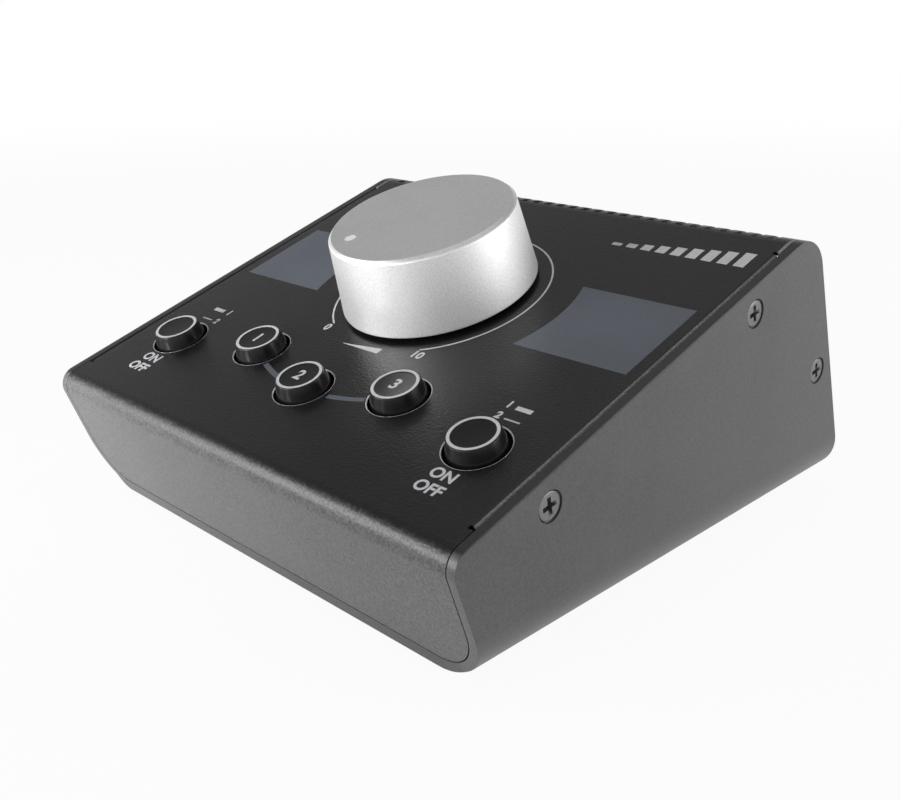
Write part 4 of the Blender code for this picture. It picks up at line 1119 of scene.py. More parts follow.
@dataclass
class Cover:
    """Front face, sloping panel and rear face in one folded sheet, with flanges, notches, holes and vents."""

    flange_depth: float = 0.0124
    flange_bend: float = 0.0014
    flange_chamfer: float = 0.0020
    notch: float = 0.0009
    top_flange_front: float = 0.0092
    top_flange_rear: float = 0.0140
    rear_flange_top: float = 0.0140
    rear_flange_rise: float = 0.0142
    flange_steps: int = 8
    nest_steps: int = 12
    sheet_edge: float = 0.00015
    fold_angle: float = math.radians(60.0)
    hole_radius: float = 0.00675
    hole_edge: float = 0.0003
    hole_edge_steps: int = 4
    hole_steps: int = 72
    rim_start: float = math.radians(30.0)
    rim_end: float = math.radians(84.0)
    rim_steps: int = 6
    rim_lift: float = 0.00002
    rim_sink: float = 0.00006
    bushing_hole: float = 0.0048
    jack_hole: float = 0.0053
    vent_pitch: float = 0.0040
    vent_width: float = 0.0021
    vent_count: int = 31
    vent_start: float = math.radians(8.0)
    vent_run: float = 0.0035

    def outline(self, start: float, end: float, flange: Point2 | None, corner: float, lean: float) -> list[Point2]:
        """Right half of a flat face's outline.

        Args:
            start: distance of its first edge.
            end: distance of its last edge.
            flange: ends of the flange at its side, if it has one.
            corner: radius of the corners that nest in the tray, or zero.
            lean: lean of the face, which stretches those corners.

        Returns:
            Points of (x, distance).
        """
        half, line = CASE.cover_half, CASE.cover_half - self.flange_bend
        points = [(half, start)]
        if flange:
            first, last = flange
            points += [(half, first - self.notch), (line, first - self.notch), (line, first), (line, last)]
            points += [(line, last + self.notch), (half, last + self.notch)]
        if not corner:
            return points + [(half, end)]
        for turn in even_steps(0.0, math.pi / 2, self.nest_steps):
            rise = corner * (1 - math.sin(turn)) / math.cos(lean)
            points.append((half - corner * (1 - math.cos(turn)), end - rise))
        return points

    def flat(self, bm: bmesh.types.BMesh, origin: Vector, along: Vector, half: Sequence[Point2]) -> None:
        """A flat face from the right half of its outline."""
        loop = list(half) + [(-x, distance) for x, distance in reversed(half)]
        bm.faces.new([bm.verts.new(CASE.world(x, origin + along * distance)) for x, distance in loop])

    def flanges(self, bm: bmesh.types.BMesh, origin: Vector, along: Vector, normal: Vector, ends: Point2) -> None:
        """The two flanges of a face, each a small bend and a flat with chamfered corners."""
        first, last = ends
        line, radius = CASE.cover_half - self.flange_bend, self.flange_bend
        turns = even_steps(0.0, math.pi / 2, self.flange_steps)
        bend = [(line + radius * math.sin(turn), radius * (1 - math.cos(turn))) for turn in turns]
        loops = [[(*near, first), (*far, first), (*far, last), (*near, last)] for near, far in zip(bend, bend[1:])]
        deep, cut = self.flange_depth, self.flange_chamfer
        flat = [
            (radius, first),
            (deep - cut, first),
            (deep, first + cut),
            (deep, last - cut),
            (deep - cut, last),
            (radius, last),
        ]
        loops.append([(CASE.cover_half, depth, distance) for depth, distance in flat])
        for sign in (1, -1):
            for loop in loops:
                spots = [(sign * side, origin + along * distance - normal * depth) for side, depth, distance in loop]
                bm.faces.new([bm.verts.new(CASE.world(side, point)) for side, point in spots[::sign]])

    def sheet(self) -> bpy.types.Object:
        """The folded sheet, before its holes."""
        bm = bmesh.new()
        nest = CASE.tray_bend - CASE.tray_sheet - CASE.seam
        front_low = CASE.seam / math.cos(CASE.front_lean)
        rear_low = (CASE.seam + CASE.cover_sheet * math.sin(CASE.rear_lean)) / math.cos(CASE.rear_lean)
        front_tangent = CASE.corner(CASE.front_corner, CASE.front_up, CASE.along, CASE.front_bend)[1]
        rear_tangent = CASE.corner(CASE.rear_corner, CASE.along, CASE.rear_down, CASE.rear_bend)[1]

        front = self.outline(front_tangent, CASE.front_length - front_low, None, nest, CASE.front_lean)
        self.flat(bm, CASE.front_corner, -CASE.front_up, [(-x, distance) for x, distance in front])
        top = (self.top_flange_front, CASE.slope_length - self.top_flange_rear)
        panel = self.outline(front_tangent, CASE.slope_length - rear_tangent, top, 0.0, 0.0)
        self.flat(bm, CASE.front_corner, CASE.along, panel)
        self.flanges(bm, CASE.front_corner, CASE.along, CASE.normal, top)
        low = (self.rear_flange_top, CASE.rear_length - self.rear_flange_rise)
        rear = self.outline(rear_tangent, CASE.rear_length - rear_low, low, nest, CASE.rear_lean)
        self.flat(bm, CASE.rear_corner, CASE.rear_down, rear)
        self.flanges(bm, CASE.rear_corner, CASE.rear_down, CASE.rear_normal, low)
        for arc in (CASE.front_arc(), CASE.rear_arc()):
            for point, following in zip(arc, arc[1:]):
                right = [(CASE.cover_half, spot) for spot in (point, following)]
                left = [(-CASE.cover_half, spot) for spot in (following, point)]
                bm.faces.new([bm.verts.new(CASE.world(x, spot)) for x, spot in right + left])
        cover = from_bmesh("panel_shell", bm, outward=False)
        wall = cover.modifiers.new("sheet", "SOLIDIFY")
        wall.thickness = CASE.cover_sheet
        wall.offset = -1
        wall.use_even_offset = True
        settle(cover)
        soften(cover, self.sheet_edge, angle=self.fold_angle)
        return cover

    def hole(self, bm: bmesh.types.BMesh, x: float, y: float) -> None:
        """One button hole's cutter, which rounds the hole's edge."""
        low, size = -2 * CASE.cover_sheet, self.hole_edge
        turns = even_steps(0.0, math.pi / 2, self.hole_edge_steps)
        edge = [(self.hole_radius + size * (1 - math.cos(turn)), -size * (1 - math.sin(turn))) for turn in turns]
        profile = [(0, low), (self.hole_radius, low), *edge, (edge[-1][0], OVERRUN), (0, OVERRUN)]
        lathe(bm, profile, self.hole_steps, CASE.panel(x, y))

    def rims(self, spots: Iterable[Point2]) -> bpy.types.Object:
        """The bare bright metal on the punched edges of the button holes."""
        bm = bmesh.new()
        size, radius = self.hole_edge, self.hole_radius + self.hole_edge
        turns = even_steps(self.rim_start, self.rim_end, self.rim_steps)
        profile = []
        for reach, order in ((size + self.rim_lift, turns), (size - self.rim_sink, reversed(turns))):
            profile += [(radius - reach * math.cos(turn), -size + reach * math.sin(turn)) for turn in order]
        for x, y in spots:
            lathe(bm, profile, self.hole_steps, CASE.panel(x, y))
        rims = from_bmesh("hole_rims", bm)
        smooth(rims)
        return rims

    def vents(self, material: bpy.types.Material) -> bpy.types.Object:
        """Cutters of the slots that wrap the rear bend, in a row across the case."""
        centre, _, turn = CASE.corner(CASE.rear_corner, CASE.along, CASE.rear_down, CASE.rear_bend)
        strips = []
        for radius in (CASE.rear_bend - CASE.cover_sheet - OVERRUN, CASE.rear_bend + OVERRUN):
            strip = []
            for angle in even_steps(self.vent_start, turn, CASE.bend_steps):
                strip.append(centre + Matrix.Rotation(-angle, 2) @ CASE.normal * radius)
            strip.append(strip[-1] + CASE.rear_down * self.vent_run)
            strips.append(strip)
        loop = [tuple(point) for point in strips[0] + list(reversed(strips[1]))]
        sideways = Matrix(((0, 0, 1, 0), (1, 0, 0, -CASE.middle_y), (0, 1, 0, CASE.floor_z), (0, 0, 0, 1)))
        unit = extruded("vent_slot", loop, -self.vent_width / 2, self.vent_width / 2, sideways)
        slots = Repeat("vent_slots", unit, material).grid(
            self.vent_count, 1, self.vent_pitch, self.vent_pitch, Matrix.Identity(4)
        )
        drop(unit)
        return slots

    def build(self, finishes: Finishes, keys: "Keys", jacks: "Jacks", knob: "VolumeKnob") -> None:
        """The cover with its holes and vents."""
        cover = self.sheet()
        bm = bmesh.new()
        for x, y in keys.spots():
            self.hole(bm, x, y)
        below = -2 * CASE.cover_sheet
        disc = rectangle(0, below, self.bushing_hole, OVERRUN)
        lathe(bm, disc, self.hole_steps, CASE.panel(0, knob.up_slope))
        disc = rectangle(0, below, self.jack_hole, OVERRUN)
        for x, y in jacks.spots():
            lathe(bm, disc, self.hole_steps, CASE.rear(x, y))
        carve(cover, from_bmesh("cover_holes", bm))
        material = finishes.get("cover_coat")
        carve(cover, self.vents(material))
        smooth(cover)
        place_piece(cover, Body.CASE.value, Slot.PANEL_COAT, material, ["top_cover"])
        rims = self.rims(keys.spots())
        place_piece(rims, Body.CASE.value, Slot.BRIGHT_STEEL, finishes.get("cut_edge"))


@dataclass
class VolumeKnob:
    """The turned aluminium knob, with its white-filled dimple."""

    up_slope: float = 0.0685
    lift: float = 0.0011
    height: float = 0.0182
    base_radius: float = 0.0234
    top_radius: float = 0.0219
    chamfer: float = 0.0008
    chamfer_ease: float = 0.00016
    ease_near: float = 0.15
    ease_far: float = 0.75
    wall: float = 0.0024
    crown: float = 0.0030
    hub_radius: float = 0.0082
    hub_lift: float = 0.0055
    bore: float = 0.0055
    lower_edge: float = 0.0004
    dimple_radius: float = 0.0014
    dimple_depth: float = 0.0005
    dimple_from_axis: float = 0.0168
    rest_angle: float = math.radians(-122.0)
    paint_depth: float = 0.00044
    ball_steps: int = 48
    paint_steps: int = 40
    steps: int = 224

    def place(self) -> Matrix:
        """The knob's frame at rest, with X towards its dimple."""
        return CASE.panel(0, self.up_slope) @ Matrix.Rotation(self.rest_angle, 4, "Z")

    def top_edge(self) -> list[Point2]:
        """The chamfer at the top, a flat cone with a small radius at each end."""
        radius, top, cut, ease = self.top_radius, self.lift + self.height, self.chamfer, self.chamfer_ease
        near, far = ease * self.ease_near, ease * self.ease_far
        return [
            (radius, top - cut - ease),
            (radius - near, top - cut),
            (radius - far, top - cut + far),
            (radius - cut + far, top - far),
            (radius - cut, top - near),
            (radius - cut - ease, top),
        ]

    def build(self, finishes: Finishes) -> None:
        """The knob and the paint in its dimple."""
        low, high = self.lift, self.lift + self.height
        ceiling = high - self.crown
        edge = self.lower_edge
        taper = (self.base_radius - self.top_radius) / self.height
        profile = [
            (0, ceiling),
            (self.bore, ceiling),
            (self.bore, self.hub_lift),
            (self.hub_radius, self.hub_lift),
            (self.hub_radius, ceiling),
            (self.top_radius - self.wall, ceiling),
            (self.base_radius - self.wall, low),
            (self.base_radius - edge, low),
            (self.base_radius - edge / 4, low + edge / 4),
            (self.base_radius - taper * edge, low + edge),
            *self.top_edge(),
            (0, high),
        ]
        knob = turned("knob_body", profile, self.steps, self.place())
        ball = (self.dimple_radius**2 + self.dimple_depth**2) / (2 * self.dimple_depth)
        centre = self.place() @ Matrix.Translation((self.dimple_from_axis, 0, high + ball - self.dimple_depth))
        bm = bmesh.new()
        rings = self.ball_steps
        bmesh.ops.create_uvsphere(bm, u_segments=rings, v_segments=rings, radius=ball, matrix=centre)
        carve(knob, from_bmesh("dimple", bm))
        smooth(knob)
        place_piece(knob, Body.KNOB.value, Slot.SATIN_ALUMINIUM, finishes.get("knob_aluminium"), ["volume_knob"])

        depth = self.paint_depth
        level = high - self.dimple_depth + depth
        reach = math.sqrt(ball**2 - (ball - depth) ** 2)
        profile = [(0, level - depth / 2), (reach, level - depth / 8), (reach, level), (0, level)]
        bm = bmesh.new()
        lathe(bm, profile, self.paint_steps, self.place() @ Matrix.Translation((self.dimple_from_axis, 0, 0)))
        place_print("knob_dot", bm, Body.KNOB.value, finishes.get("paint_white"))


@dataclass
class Lettering:
    """Figures and plain shapes, printed as a thin layer on one face."""

    place: Matrix
    lift: float = 0.00003
    sink: float = 0.00002
    weight: float = 0.00011
    curve_steps: int = 6
    figure_share: float = 0.73

    def shape(self, bm: bmesh.types.BMesh, outline: Sequence[Point2]) -> None:
        """Add a printed patch, given anticlockwise."""
        prism(bm, outline, -self.sink, self.lift, self.place)

    def text(self, bm: bmesh.types.BMesh, words: str, x: float, y: float, height: float) -> None:
        """Add figures, centred on a point.

        Args:
            bm: takes the faces.
            words: the figures.
            x: middle across.
            y: middle up.
            height: height of the figures.
        """
        curve = bpy.data.curves.new("figures", "FONT")
        curve.body = words
        curve.size = height / self.figure_share
        curve.align_x = "CENTER"
        curve.align_y = "CENTER"
        curve.offset = self.weight
        curve.resolution_u = self.curve_steps
        curve.extrude = (self.lift + self.sink) / 2
        text = linked("figures", curve)
        bpy.context.view_layer.update()
        mesh = bpy.data.meshes.new_from_object(text.evaluated_get(bpy.context.evaluated_depsgraph_get()))
        middle = (self.lift - self.sink) / 2
        mesh.transform(self.place @ Matrix.Translation((x, y, middle)))
        bm.from_mesh(mesh)
        drop(text)
        bpy.data.curves.remove(curve)
        bpy.data.meshes.remove(mesh)


@dataclass
class Keys:
    """The five round push keys: caps, printed rings and figures."""

    names: tuple[str, ...] = ("source", "mono", "mute", "dim", "monitor")
    figures: tuple[str, ...] = ("", "1", "2", "3", "")
    outer_inset: float = 0.0151
    outer_up: float = 0.0260
    middle_x: float = 0.0234
    middle_up: float = 0.0314
    front_up: float = 0.0249
    base_radius: float = 0.0061
    top_radius: float = 0.0054
    stands: float = 0.0031
    skirt: float = 0.0026
    edge: float = 0.0003
    edge_steps: int = 6
    wall: float = 0.0011
    boss_radius: float = 0.0033
    socket_width: float = 0.0032
    dish: float = 0.00012
    ring_outer: float = 0.0051
    ring_width: float = 0.00065
    figure_height: float = 0.0032
    steps: int = 96

    @property
    def ring_inner(self) -> float:
        """Inner radius of the printed ring."""
        return self.ring_outer - self.ring_width

    def spots(self) -> list[Point2]:
        """Middles of the keys on the panel, in the order of their names."""
        outer = CASE.panel_half - self.outer_inset
        return [
            (-outer, self.outer_up),
            (-self.middle_x, self.middle_up),
            (0.0, self.front_up),
            (self.middle_x, self.middle_up),
            (outer, self.outer_up),
        ]

    def cap(self, name: str, place: Matrix) -> bpy.types.Object:
        """One cap, hollow below, with the socket of its plunger."""
        top, low = self.stands, -self.skirt
        ceiling = top - self.wall
        inner = self.base_radius - self.wall
        profile = [
            (0, low),
            (self.boss_radius, low),
            (self.boss_radius, ceiling),
            (self.top_radius - self.wall, ceiling),
            (inner, low),
            (self.base_radius, low),
            (self.base_radius, 0.0),
            *fillet(self.top_radius, top, self.edge, self.edge_steps),
            (self.ring_inner, top),
            (self.ring_inner - self.edge, top - self.dish),
            (0, top - self.dish),
        ]
        cap = turned(f"{name}_cap", profile, self.steps, place)
        half = self.socket_width / 2
        socket = extruded(f"{name}_socket", rectangle(-half, -half, half, half), low - OVERRUN, ceiling, place)
        carve(cap, socket)
        smooth(cap)
        return cap

    def build(self, finishes: Finishes) -> None:
        """Every cap with its printed ring and figure."""
        for name, figure, (x, y) in zip(self.names, self.figures, self.spots()):
            place = CASE.panel(x, y)
            cap = self.cap(name, place)
            place_piece(cap, f"{name}_key", Slot.GLOSS_BLACK, finishes.get("key_black"), [f"{name}_button"])
            bm = bmesh.new()
            top = Lettering(place @ Matrix.Translation((0, 0, self.stands)))
            low, high = self.stands - top.sink, self.stands + top.lift
            lathe(bm, rectangle(self.ring_inner, low, self.ring_outer, high), self.steps, place)
            if figure:
                lowered = Lettering(place @ Matrix.Translation((0, 0, self.stands - self.dish)))
                lowered.text(bm, figure, 0.0, 0.0, self.figure_height)
            place_print(f"{name}_ring", bm, f"{name}_key", finishes.get("ink_pale"))


@dataclass
class Prints:
    """Everything printed on the panel: level ring, level blocks, key marks and the link between the keys."""

    print_x: float = 0.0003
    ring_radius: float = 0.0266
    ring_width: float = 0.00042
    ring_start: float = math.radians(-57.0)
    ring_end: float = math.radians(235.8)
    ring_steps: int = 120
    # Each figure is (x, y, words, height), and each bar is (x, y, length, width).
    figures: tuple[tuple[float, float, str, float], ...] = (
        (-0.0151, 0.0448, "0", 0.0024),
        (0.0153, 0.0446, "10", 0.0024),
        (-0.0473, 0.0392, "1", 0.0020),
        (-0.0473, 0.0350, "2", 0.0020),
        (0.0467, 0.0390, "1", 0.0020),
        (0.0469, 0.0354, "2", 0.0020),
        (-0.0493, 0.0167, "ON", 0.0028),
        (-0.0493, 0.0127, "OFF", 0.0028),
        (0.0498, 0.0167, "ON", 0.0028),
        (0.0498, 0.0127, "OFF", 0.0028),
    )
    bars: tuple[tuple[float, float, float, float], ...] = (
        (-0.0515, 0.0392, 0.0040, 0.0012),
        (-0.0512, 0.0350, 0.0038, 0.0004),
        (0.0506, 0.0387, 0.0039, 0.0012),
        (0.0506, 0.0350, 0.0039, 0.0004),
    )
    ramp: tuple[Point2, ...] = ((-0.0058, 0.0413), (0.0058, 0.0413), (0.0058, 0.0432))
    levels: int = 9
    level_left: float = 0.0262
    level_low: float = 0.1000
    level_pitch: float = 0.0040
    level_width: float = 0.0026
    level_rise: float = 0.0012
    level_growth: float = 0.0006
    block_top: float = 0.0813
    block_low: float = 0.0564
    block_outer: float = 0.0614
    block_curve: float = 0.0347
    block_steps: int = 24
    link_ends: Point2 = (0.0079, 0.0170)
    link_low: float = 0.0240
    link_radius: float = 0.0450
    link_width: float = 0.0013
    link_steps: int = 24

    def marks(self, ink: Lettering, knob_y: float) -> bmesh.types.BMesh:
        """The ring, the figures, the bars, the ramp and the levels, in pale ink."""
        bm = bmesh.new()
        inner, outer = self.ring_radius - self.ring_width, self.ring_radius
        ink.shape(bm, band((0.0, knob_y), inner, outer, self.ring_start, self.ring_end, self.ring_steps))
        for x, y, words, height in self.figures:
            ink.text(bm, words, x, y, height)
        for x, y, length, width in self.bars:
            half, rise = length / 2, width / 2
            ink.shape(bm, rectangle(x - half, y - rise, x + half, y + rise))
        ink.shape(bm, self.ramp)
        for step in range(self.levels):
            left = self.level_left + self.level_pitch * step
            rise = self.level_rise + self.level_growth * step
            ink.shape(bm, rectangle(left, self.level_low, left + self.level_width, self.level_low + rise))
        return bm

    def block(self, knob_y: float) -> list[Point2]:
        """The right block, whose inner side follows the knob."""
        low, high = (math.asin((y - knob_y) / self.block_curve) for y in (self.block_low, self.block_top))
        points = [(self.block_outer, self.block_low), (self.block_outer, self.block_top)]
        for turn in even_steps(high, low, self.block_steps):
            points.append((self.block_curve * math.cos(turn), knob_y + self.block_curve * math.sin(turn)))
        return points

    def blocks(self, ink: Lettering, knob_y: float) -> bmesh.types.BMesh:
        """The two blocks and the two parts of the link, in slate ink."""
        bm = bmesh.new()
        block = self.block(knob_y)
        ink.shape(bm, block)
        ink.shape(bm, [(-x, y) for x, y in reversed(block)])
        radius, half = self.link_radius, self.link_width / 2
        near, far = self.link_ends
        for ends in ((-far, -near), (near, far)):
            turns = [-math.acos(x / radius) for x in ends]
            ink.shape(bm, band((0.0, self.link_low + radius), radius - half, radius + half, *turns, self.link_steps))
        return bm

    def build(self, finishes: Finishes, knob: VolumeKnob) -> None:
        """The prints, one piece for each ink."""
        ink = Lettering(CASE.panel(self.print_x))
        marks = self.marks(ink, knob.up_slope)
        place_print("panel_marks", marks, Body.CASE.value, finishes.get("ink_pale"))
        blocks = self.blocks(ink, knob.up_slope)
        place_print("level_blocks", blocks, Body.CASE.value, finishes.get("ink_slate"))


@dataclass
class Jacks:
    """The eight jacks of the rear face: bodies with threaded noses, nuts, sleeves and numbers."""

    columns: int = 4
    rows: int = 2
    side_inset: float = 0.0201
    top_drop: float = 0.0225
    low_rise: float = 0.0237
    body_width: float = 0.0156
    body_depth: float = 0.0220
    nose_radius: float = 0.0050
    nose_stands: float = 0.0036
    bore_radius: float = 0.0035
    back_wall: float = 0.0015
    mouth_edge: float = 0.0006
    thread_pitch: float = 0.0007
    thread_depth: float = 0.0002
    nut_across: float = 0.0130
    nut_height: float = 0.0022
    nut_edge: float = 0.0003
    nut_cone: float = math.radians(30.0)
    nut_cone_rise: float = 0.577
    sleeve_radius: float = 0.00345
    sleeve_wall: float = 0.0002
    sleeve_depth: float = 0.0050
    number_drop: float = 0.0102
    number_height: float = 0.0030
    steps: int = 48

    @property
    def column_pitch(self) -> float:
        """Spacing of the columns."""
        return (CASE.panel_half - self.side_inset) * 2 / (self.columns - 1)

    @property
    def row_pitch(self) -> float:
        """Spacing of the rows."""
        return (CASE.rear_length - self.top_drop - self.low_rise) / (self.rows - 1)

    def spots(self) -> list[Point2]:
        """Middles of the jacks in the rear face's frame."""
        xs = [self.column_pitch * (column - (self.columns - 1) / 2) for column in range(self.columns)]
        ys = [-self.top_drop - self.row_pitch * row for row in range(self.rows)]
        return [(x, y) for y in ys for x in xs]

    def middle(self) -> Matrix:
        """The middle of the rows and columns."""
        drop_to = self.top_drop + self.row_pitch * (self.rows - 1) / 2
        return CASE.rear(0, -drop_to)

    def body(self) -> bpy.types.Object:
        """A square body with a threaded nose and a blind bore, its nose out along Z."""
        front = -CASE.cover_sheet - CASE.gap
        back = front - self.body_depth
        half = self.body_width / 2
        block = extruded("jack_block", rectangle(-half, -half, half, half), back, front)
        soften(block, self.nut_edge)
        top, edge, bore = self.nose_stands, self.mouth_edge, self.bore_radius
        crest, root = self.nose_radius, self.nose_radius - self.thread_depth
        threads = []
        level = -CASE.cover_sheet
        while level < top - edge - self.thread_pitch:
            threads += [(crest, level), (root, level + self.thread_pitch / 2)]
            level += self.thread_pitch
        mouth = bore + edge
        profile = [
            (0, front - OVERRUN),
            (root, front - OVERRUN),
            *threads,
            (crest, top - edge),
            (crest - edge / 2, top),
            (mouth, top),
            (0, top),
        ]
        carve(block, turned("jack_nose", profile, self.steps), "UNION")
        floor = back + self.back_wall
        profile = [
            (0, floor),
            (bore, floor),
            (bore, top - edge),
            (bore + edge / 3, top - edge / 3),
            (mouth, top),
            (mouth, top + OVERRUN),
            (0, top + OVERRUN),
        ]
        carve(block, turned("jack_bore", profile, self.steps))
        smooth(block)
        return block

    def nut(self) -> bpy.types.Object:
        """A hexagonal nut with rounded corners."""
        low, high = CASE.gap, CASE.gap + self.nut_height
        under, over = low - OVERRUN, high + OVERRUN
        nut = extruded("jack_nut", polygon(self.nut_across, 6), low, high)
        flat = self.nut_across / 2
        corner = flat / math.cos(math.pi / 6)
        reach = corner + OVERRUN
        rim = high - (corner - flat) * math.tan(self.nut_cone) - OVERRUN * self.nut_cone_rise
        cone = [(0, under), (reach, under), (reach, rim), (flat, high), (flat, over), (0, over)]
        carve(nut, turned("nut_cone", cone, self.steps * 2), "INTERSECT")
        hole = self.nose_radius + self.thread_depth / 2
        carve(nut, turned("nut_hole", rectangle(0, under, hole, over), self.steps))
        soften(nut, self.nut_edge / 2)
        smooth(nut)
        return nut

    def sleeve(self) -> bpy.types.Object:
        """The bright sleeve just inside the mouth."""
        high = self.nose_stands - self.mouth_edge
        inner, outer = self.sleeve_radius - self.sleeve_wall, self.sleeve_radius
        sleeve = turned("jack_sleeve", rectangle(inner, high - self.sleeve_depth, outer, high), self.steps)
        smooth(sleeve)
        return sleeve

    def build(self, finishes: Finishes) -> None:
        """All jacks, one piece for each kind of part."""
        pairs = [f"{way}_{letter}" for way in ("input", "output") for letter in "ab"]
        nodes = [f"{pair}_{side}_jack" for pair in pairs for side in ("left", "right")]
        kinds = (
            ("jack_bodies", self.body(), "moulded_black", Slot.BLACK_PLASTIC, nodes),
            ("jack_nuts", self.nut(), "bright_nickel", Slot.BRIGHT_STEEL, []),
            ("jack_sleeves", self.sleeve(), "bright_nickel", Slot.BRIGHT_STEEL, []),
        )
        for name, unit, finish, slot, replaced in kinds:
            material = finishes.get(finish)
            copies = Repeat(name, unit, material).grid(
                self.columns, self.rows, self.column_pitch, self.row_pitch, self.middle()
            )
            drop(unit)
            place_piece(copies, Body.CASE.value, slot, material, replaced)
        ink = Lettering(CASE.rear())
        bm = bmesh.new()
        for number, (x, y) in enumerate(self.spots(), 1):
            ink.text(bm, str(number), x, y - self.number_drop, self.number_height)
        place_print("jack_numbers", bm, Body.CASE.value, finishes.get("ink_pale"))


@dataclass
class Feet:
    """Four rubber feet under the tray."""

    height: float = 0.0020
    radius: float = 0.0063
    base_radius: float = 0.0060
    inset_x: float = 0.0260
    inset_y: float = 0.0180
    edge: float = 0.0003
    edge_steps: int = 4
    steps: int = 48

    def build(self, finishes: Finishes) -> None:
        """The feet, as one piece."""
        high = self.height
        rounded = fillet(self.base_radius, high, self.edge, self.edge_steps)
        base = [(radius, high - z) for radius, z in reversed(rounded)]
        unit = turned("foot", [(0, 0.0), *base, (self.radius, high), (0, high)], self.steps)
        smooth(unit)
        material = finishes.get("foot_rubber")
        middle = Matrix.Translation(Vector((0, CASE.base_depth / 2 - CASE.middle_y, 0)))
        across = 2 * (CASE.tray_half - self.inset_x)
        deep = CASE.base_depth - 2 * self.inset_y
        feet = Repeat("rubber_feet", unit, material).grid(2, 2, across, deep, middle)
        drop(unit)
        nodes = [f"foot_{where}_{side}" for where in ("front", "rear") for side in ("left", "right")]
        place_piece(feet, Body.CASE.value, Slot.FOOT_RUBBER, material, nodes)


@dataclass
class KeySprings:
    """The coils under the plungers, kept in their imported shape on the case."""

    merge: float = 1e-6

    def build(self, finishes: Finishes, keys: Keys) -> None:
        """One coil in each switch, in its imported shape."""
        travel = {joint["name"]: joint.get("range_m") for joint in frame["record"]["behaviour"]["joints"]}
        up = CASE.panel().to_3x3() @ Vector((0, 0, 1))
        for key in keys.names:
            solid = frame["nodes"][f"{key}_spring"]
            bm = bmesh.new()
            bm.from_mesh(solid.data)
            bm.transform(solid.matrix_world)
            bmesh.ops.remove_doubles(bm, verts=bm.verts[:], dist=self.merge)
            coil = from_bmesh(f"{key}_coil", bm)
            smooth(coil)
            place_piece(coil, Body.CASE.value, Slot.SPRING_STEEL, finishes.get("spring_wire"), [f"{key}_spring"])
            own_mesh(coil)


class Insides:
    """The pieces inside the case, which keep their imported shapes."""

    FINISH_OF_SLOT: ClassVar[dict[Slot, str]] = {
        Slot.POWDER_COAT: "tray_coat",
        Slot.PANEL_COAT: "cover_coat",
        Slot.SATIN_ALUMINIUM: "knob_aluminium",
        Slot.GLOSS_BLACK: "key_black",
        Slot.BLACK_PLASTIC: "moulded_black",
        Slot.GREY_PLASTIC: "moulded_grey",
        Slot.BLACK_ZINC: "screw_zinc",
        Slot.BRIGHT_STEEL: "bright_nickel",
        Slot.SPRING_STEEL: "spring_wire",
        Slot.TRACK_BROWN: "track_board",
        Slot.BOARD_GREEN: "solder_mask",
        Slot.RIBBON_GREY: "flat_cable",
        Slot.FOOT_RUBBER: "foot_rubber",
    }

    def dress(self, finishes: Finishes) -> None:
        """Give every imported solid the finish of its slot."""
        slots = {part["node"]: part["material_slot"] for part in frame["record"]["subparts"]}
        for name, solid in frame["nodes"].items():
            material = finishes.get(self.FINISH_OF_SLOT[Slot(slots[name])])
            if not solid.material_slots:
                solid.data.materials.append(material)
            for place in solid.material_slots:
                place.material = material
        LOG.info("dressed %d packed solids", len(frame["nodes"]))


@dataclass(frozen=True)
class SoftBox:
    """One soft lamp, its power in watts and its spread the full angle of its light."""

    name: str
    place: Point3
    size: Point2
    power: float
    aim: Point3 = (0.0, 0.0, 0.04)
    spread: float = math.pi

    def build(self) -> None:
        """Set the lamp up, out of the camera's sight."""
        light = bpy.data.lights.new(self.name, "AREA")
        light.shape = "RECTANGLE"
        light.size, light.size_y = self.size
        light.energy = self.power
        light.spread = self.spread
        lamp = linked(self.name, light)
        lamp.visible_camera = False
        lamp.location = self.place
        lamp.rotation_euler = (Vector(self.aim) - Vector(self.place)).to_track_quat("-Z", "Y").to_euler()


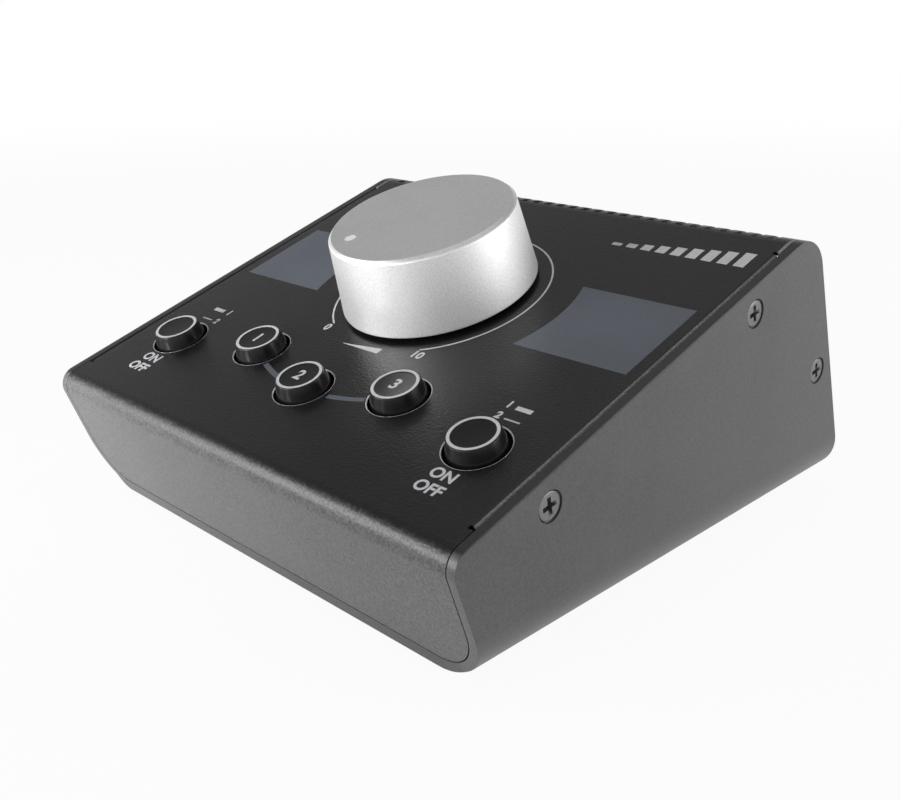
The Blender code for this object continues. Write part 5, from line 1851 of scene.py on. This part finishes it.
@dataclass
class Studio:
    """Camera, pale floor, soft lights and a white background."""

    camera_place: Point3 = (0.17478, -0.17763, 0.11569)
    camera_right: Point3 = (0.70867, 0.70551, -0.00629)
    camera_up: Point3 = (-0.23888, 0.24832, 0.93876)
    camera_back: Point3 = (0.66387, -0.66377, 0.34451)
    lens: float = 42.88
    sensor: float = 36.0
    clip: Point2 = (0.01, 20.0)
    floor_half: float = 4.0
    floor_roughness: float = 0.9
    floor_colour: Colour = (0.86, 0.86, 0.86)
    floor_glow: float = 0.94
    floor_gloss: float = 0.55
    floor_near: float = 0.45
    floor_far: float = 1.10
    fill: float = 0.22
    horizon: float = 0.75
    zenith: float = 0.308
    low_sky: float = 0.28
    high_sky: float = 0.42
    cap_start: float = 0.62
    cap_end: float = 0.80
    cap_share: float = 0.35
    boxes: tuple[SoftBox, ...] = (
        SoftBox("right_box", (0.747, 0.466, 0.227), (0.60, 0.40), 3.2),
        SoftBox("left_box", (-0.280, -0.435, 0.160), (0.34, 0.26), 1.30),
        SoftBox("front_box", (0.010, -0.435, 0.115), (0.26, 0.20), 0.32),
        SoftBox("low_box", (-0.110, -0.360, 0.030), (0.08, 0.06), 0.056, (-0.090, -0.070, 0.018), math.radians(40.0)),
        SoftBox("top_box", (0.0, -0.02, 1.24), (1.60, 1.60), 4.0),
    )

    def camera(self) -> None:
        """The camera, at the photograph's view."""
        lens = bpy.data.cameras.new("camera")
        lens.lens = self.lens
        lens.sensor_width = self.sensor
        lens.sensor_fit = "HORIZONTAL"
        lens.clip_start, lens.clip_end = self.clip
        camera = linked("camera", lens)
        turn = Matrix((self.camera_right, self.camera_up, self.camera_back)).transposed().to_4x4()
        camera.matrix_world = Matrix.Translation(self.camera_place) @ turn
        bpy.context.scene.camera = camera

    def seen(self, wiring: Wiring, in_camera: float, in_gloss: float) -> bpy.types.NodeSocket:
        """A level for rays from the camera, one for rays from gloss and through glass, and zero for others."""
        path = wiring.node("ShaderNodeLightPath")
        level = wiring.math("MULTIPLY", path.outputs["Is Camera Ray"], in_camera)
        for kind in ("Glossy", "Transmission"):
            share = wiring.math("MULTIPLY", path.outputs[f"Is {kind} Ray"], in_gloss)
            level = wiring.math("MAXIMUM", level, share)
        return level

    def floor(self) -> None:
        """A pale floor that shows white and keeps the shadow."""
        bm = bmesh.new()
        size = self.floor_half
        bm.faces.new([bm.verts.new((x, y, 0.0)) for x, y in rectangle(-size, -size, size, size)])
        floor = from_bmesh("floor", bm)
        material, wiring, shader = new_material("studio_floor")
        shader.inputs["Base Color"].default_value = (*self.floor_colour, 1.0)
        shader.inputs["Roughness"].default_value = self.floor_roughness
        shader.inputs["Specular IOR Level"].default_value = 0.0
        glow = wiring.node("ShaderNodeEmission", None, {"Color": WHITE, "Strength": 1.0})
        spot = wiring.node("ShaderNodeTexCoord").outputs["Object"]
        reach = wiring.node("ShaderNodeVectorMath", {"operation": "LENGTH"}, {0: spot}).outputs["Value"]
        near = self.seen(wiring, self.floor_glow, self.floor_gloss)
        far = self.seen(wiring, 1.0, 1.0)
        share = wiring.ramp(reach, self.floor_near, self.floor_far, near, far)
        mixed = wiring.node("ShaderNodeMixShader", None, {0: share, 1: shader.outputs[0], 2: glow.outputs[0]})
        output = material.node_tree.nodes["Material Output"]
        wiring.join(mixed.outputs[0], output.inputs["Surface"])
        floor.data.materials.append(material)

    def world(self) -> None:
        """White to the camera, pale in gloss and dimmer overhead, and weaker as a light."""
        world = bpy.data.worlds.new("studio")
        world.use_nodes = True
        bpy.context.scene.world = world
        world.node_tree.nodes.clear()
        wiring = Wiring(world.node_tree)
        way = wiring.node("ShaderNodeTexCoord").outputs["Generated"]
        height = wiring.node("ShaderNodeSeparateXYZ", None, {0: way}).outputs["Z"]
        sky = wiring.ramp(height, self.low_sky, self.high_sky, self.horizon, self.zenith)
        cap = wiring.ramp(height, self.cap_start, self.cap_end, 1.0, self.cap_share)
        sky = wiring.math("MULTIPLY", sky, cap)
        share = self.seen(wiring, 1.0, 1.0)
        unseen = wiring.math("MULTIPLY", wiring.math("SUBTRACT", 1.0, share), self.fill)
        lit = wiring.math("ADD", wiring.math("MULTIPLY", sky, share), unseen)
        camera = wiring.node("ShaderNodeLightPath").outputs["Is Camera Ray"]
        level = wiring.math("MAXIMUM", lit, camera)
        back = wiring.node("ShaderNodeBackground", None, {"Color": WHITE, "Strength": level})
        wiring.node("ShaderNodeOutputWorld", None, {"Surface": back.outputs[0]})

    def build(self) -> None:
        """Everything around the object."""
        self.camera()
        self.floor()
        self.world()
        for box in self.boxes:
            box.build()


def main() -> None:
    """Build the studio and every sub-assembly."""
    logging.basicConfig(level=logging.INFO, format="%(name)s: %(message)s")
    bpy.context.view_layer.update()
    bpy.context.scene.view_settings.view_transform = "Standard"
    knob, keys, jacks, screws = VolumeKnob(), Keys(), Jacks(), SideScrews()
    finishes = Finishes(CASE.panel(0, knob.up_slope))
    Studio().build()
    Insides().dress(finishes)
    Tray().build(finishes, screws)
    Cover().build(finishes, keys, jacks, knob)
    screws.build(finishes)
    knob.build(finishes)
    keys.build(finishes)
    KeySprings().build(finishes, keys)
    Prints().build(finishes, knob)
    jacks.build(finishes)
    Feet().build(finishes)


if __name__ == "__main__":
    main()
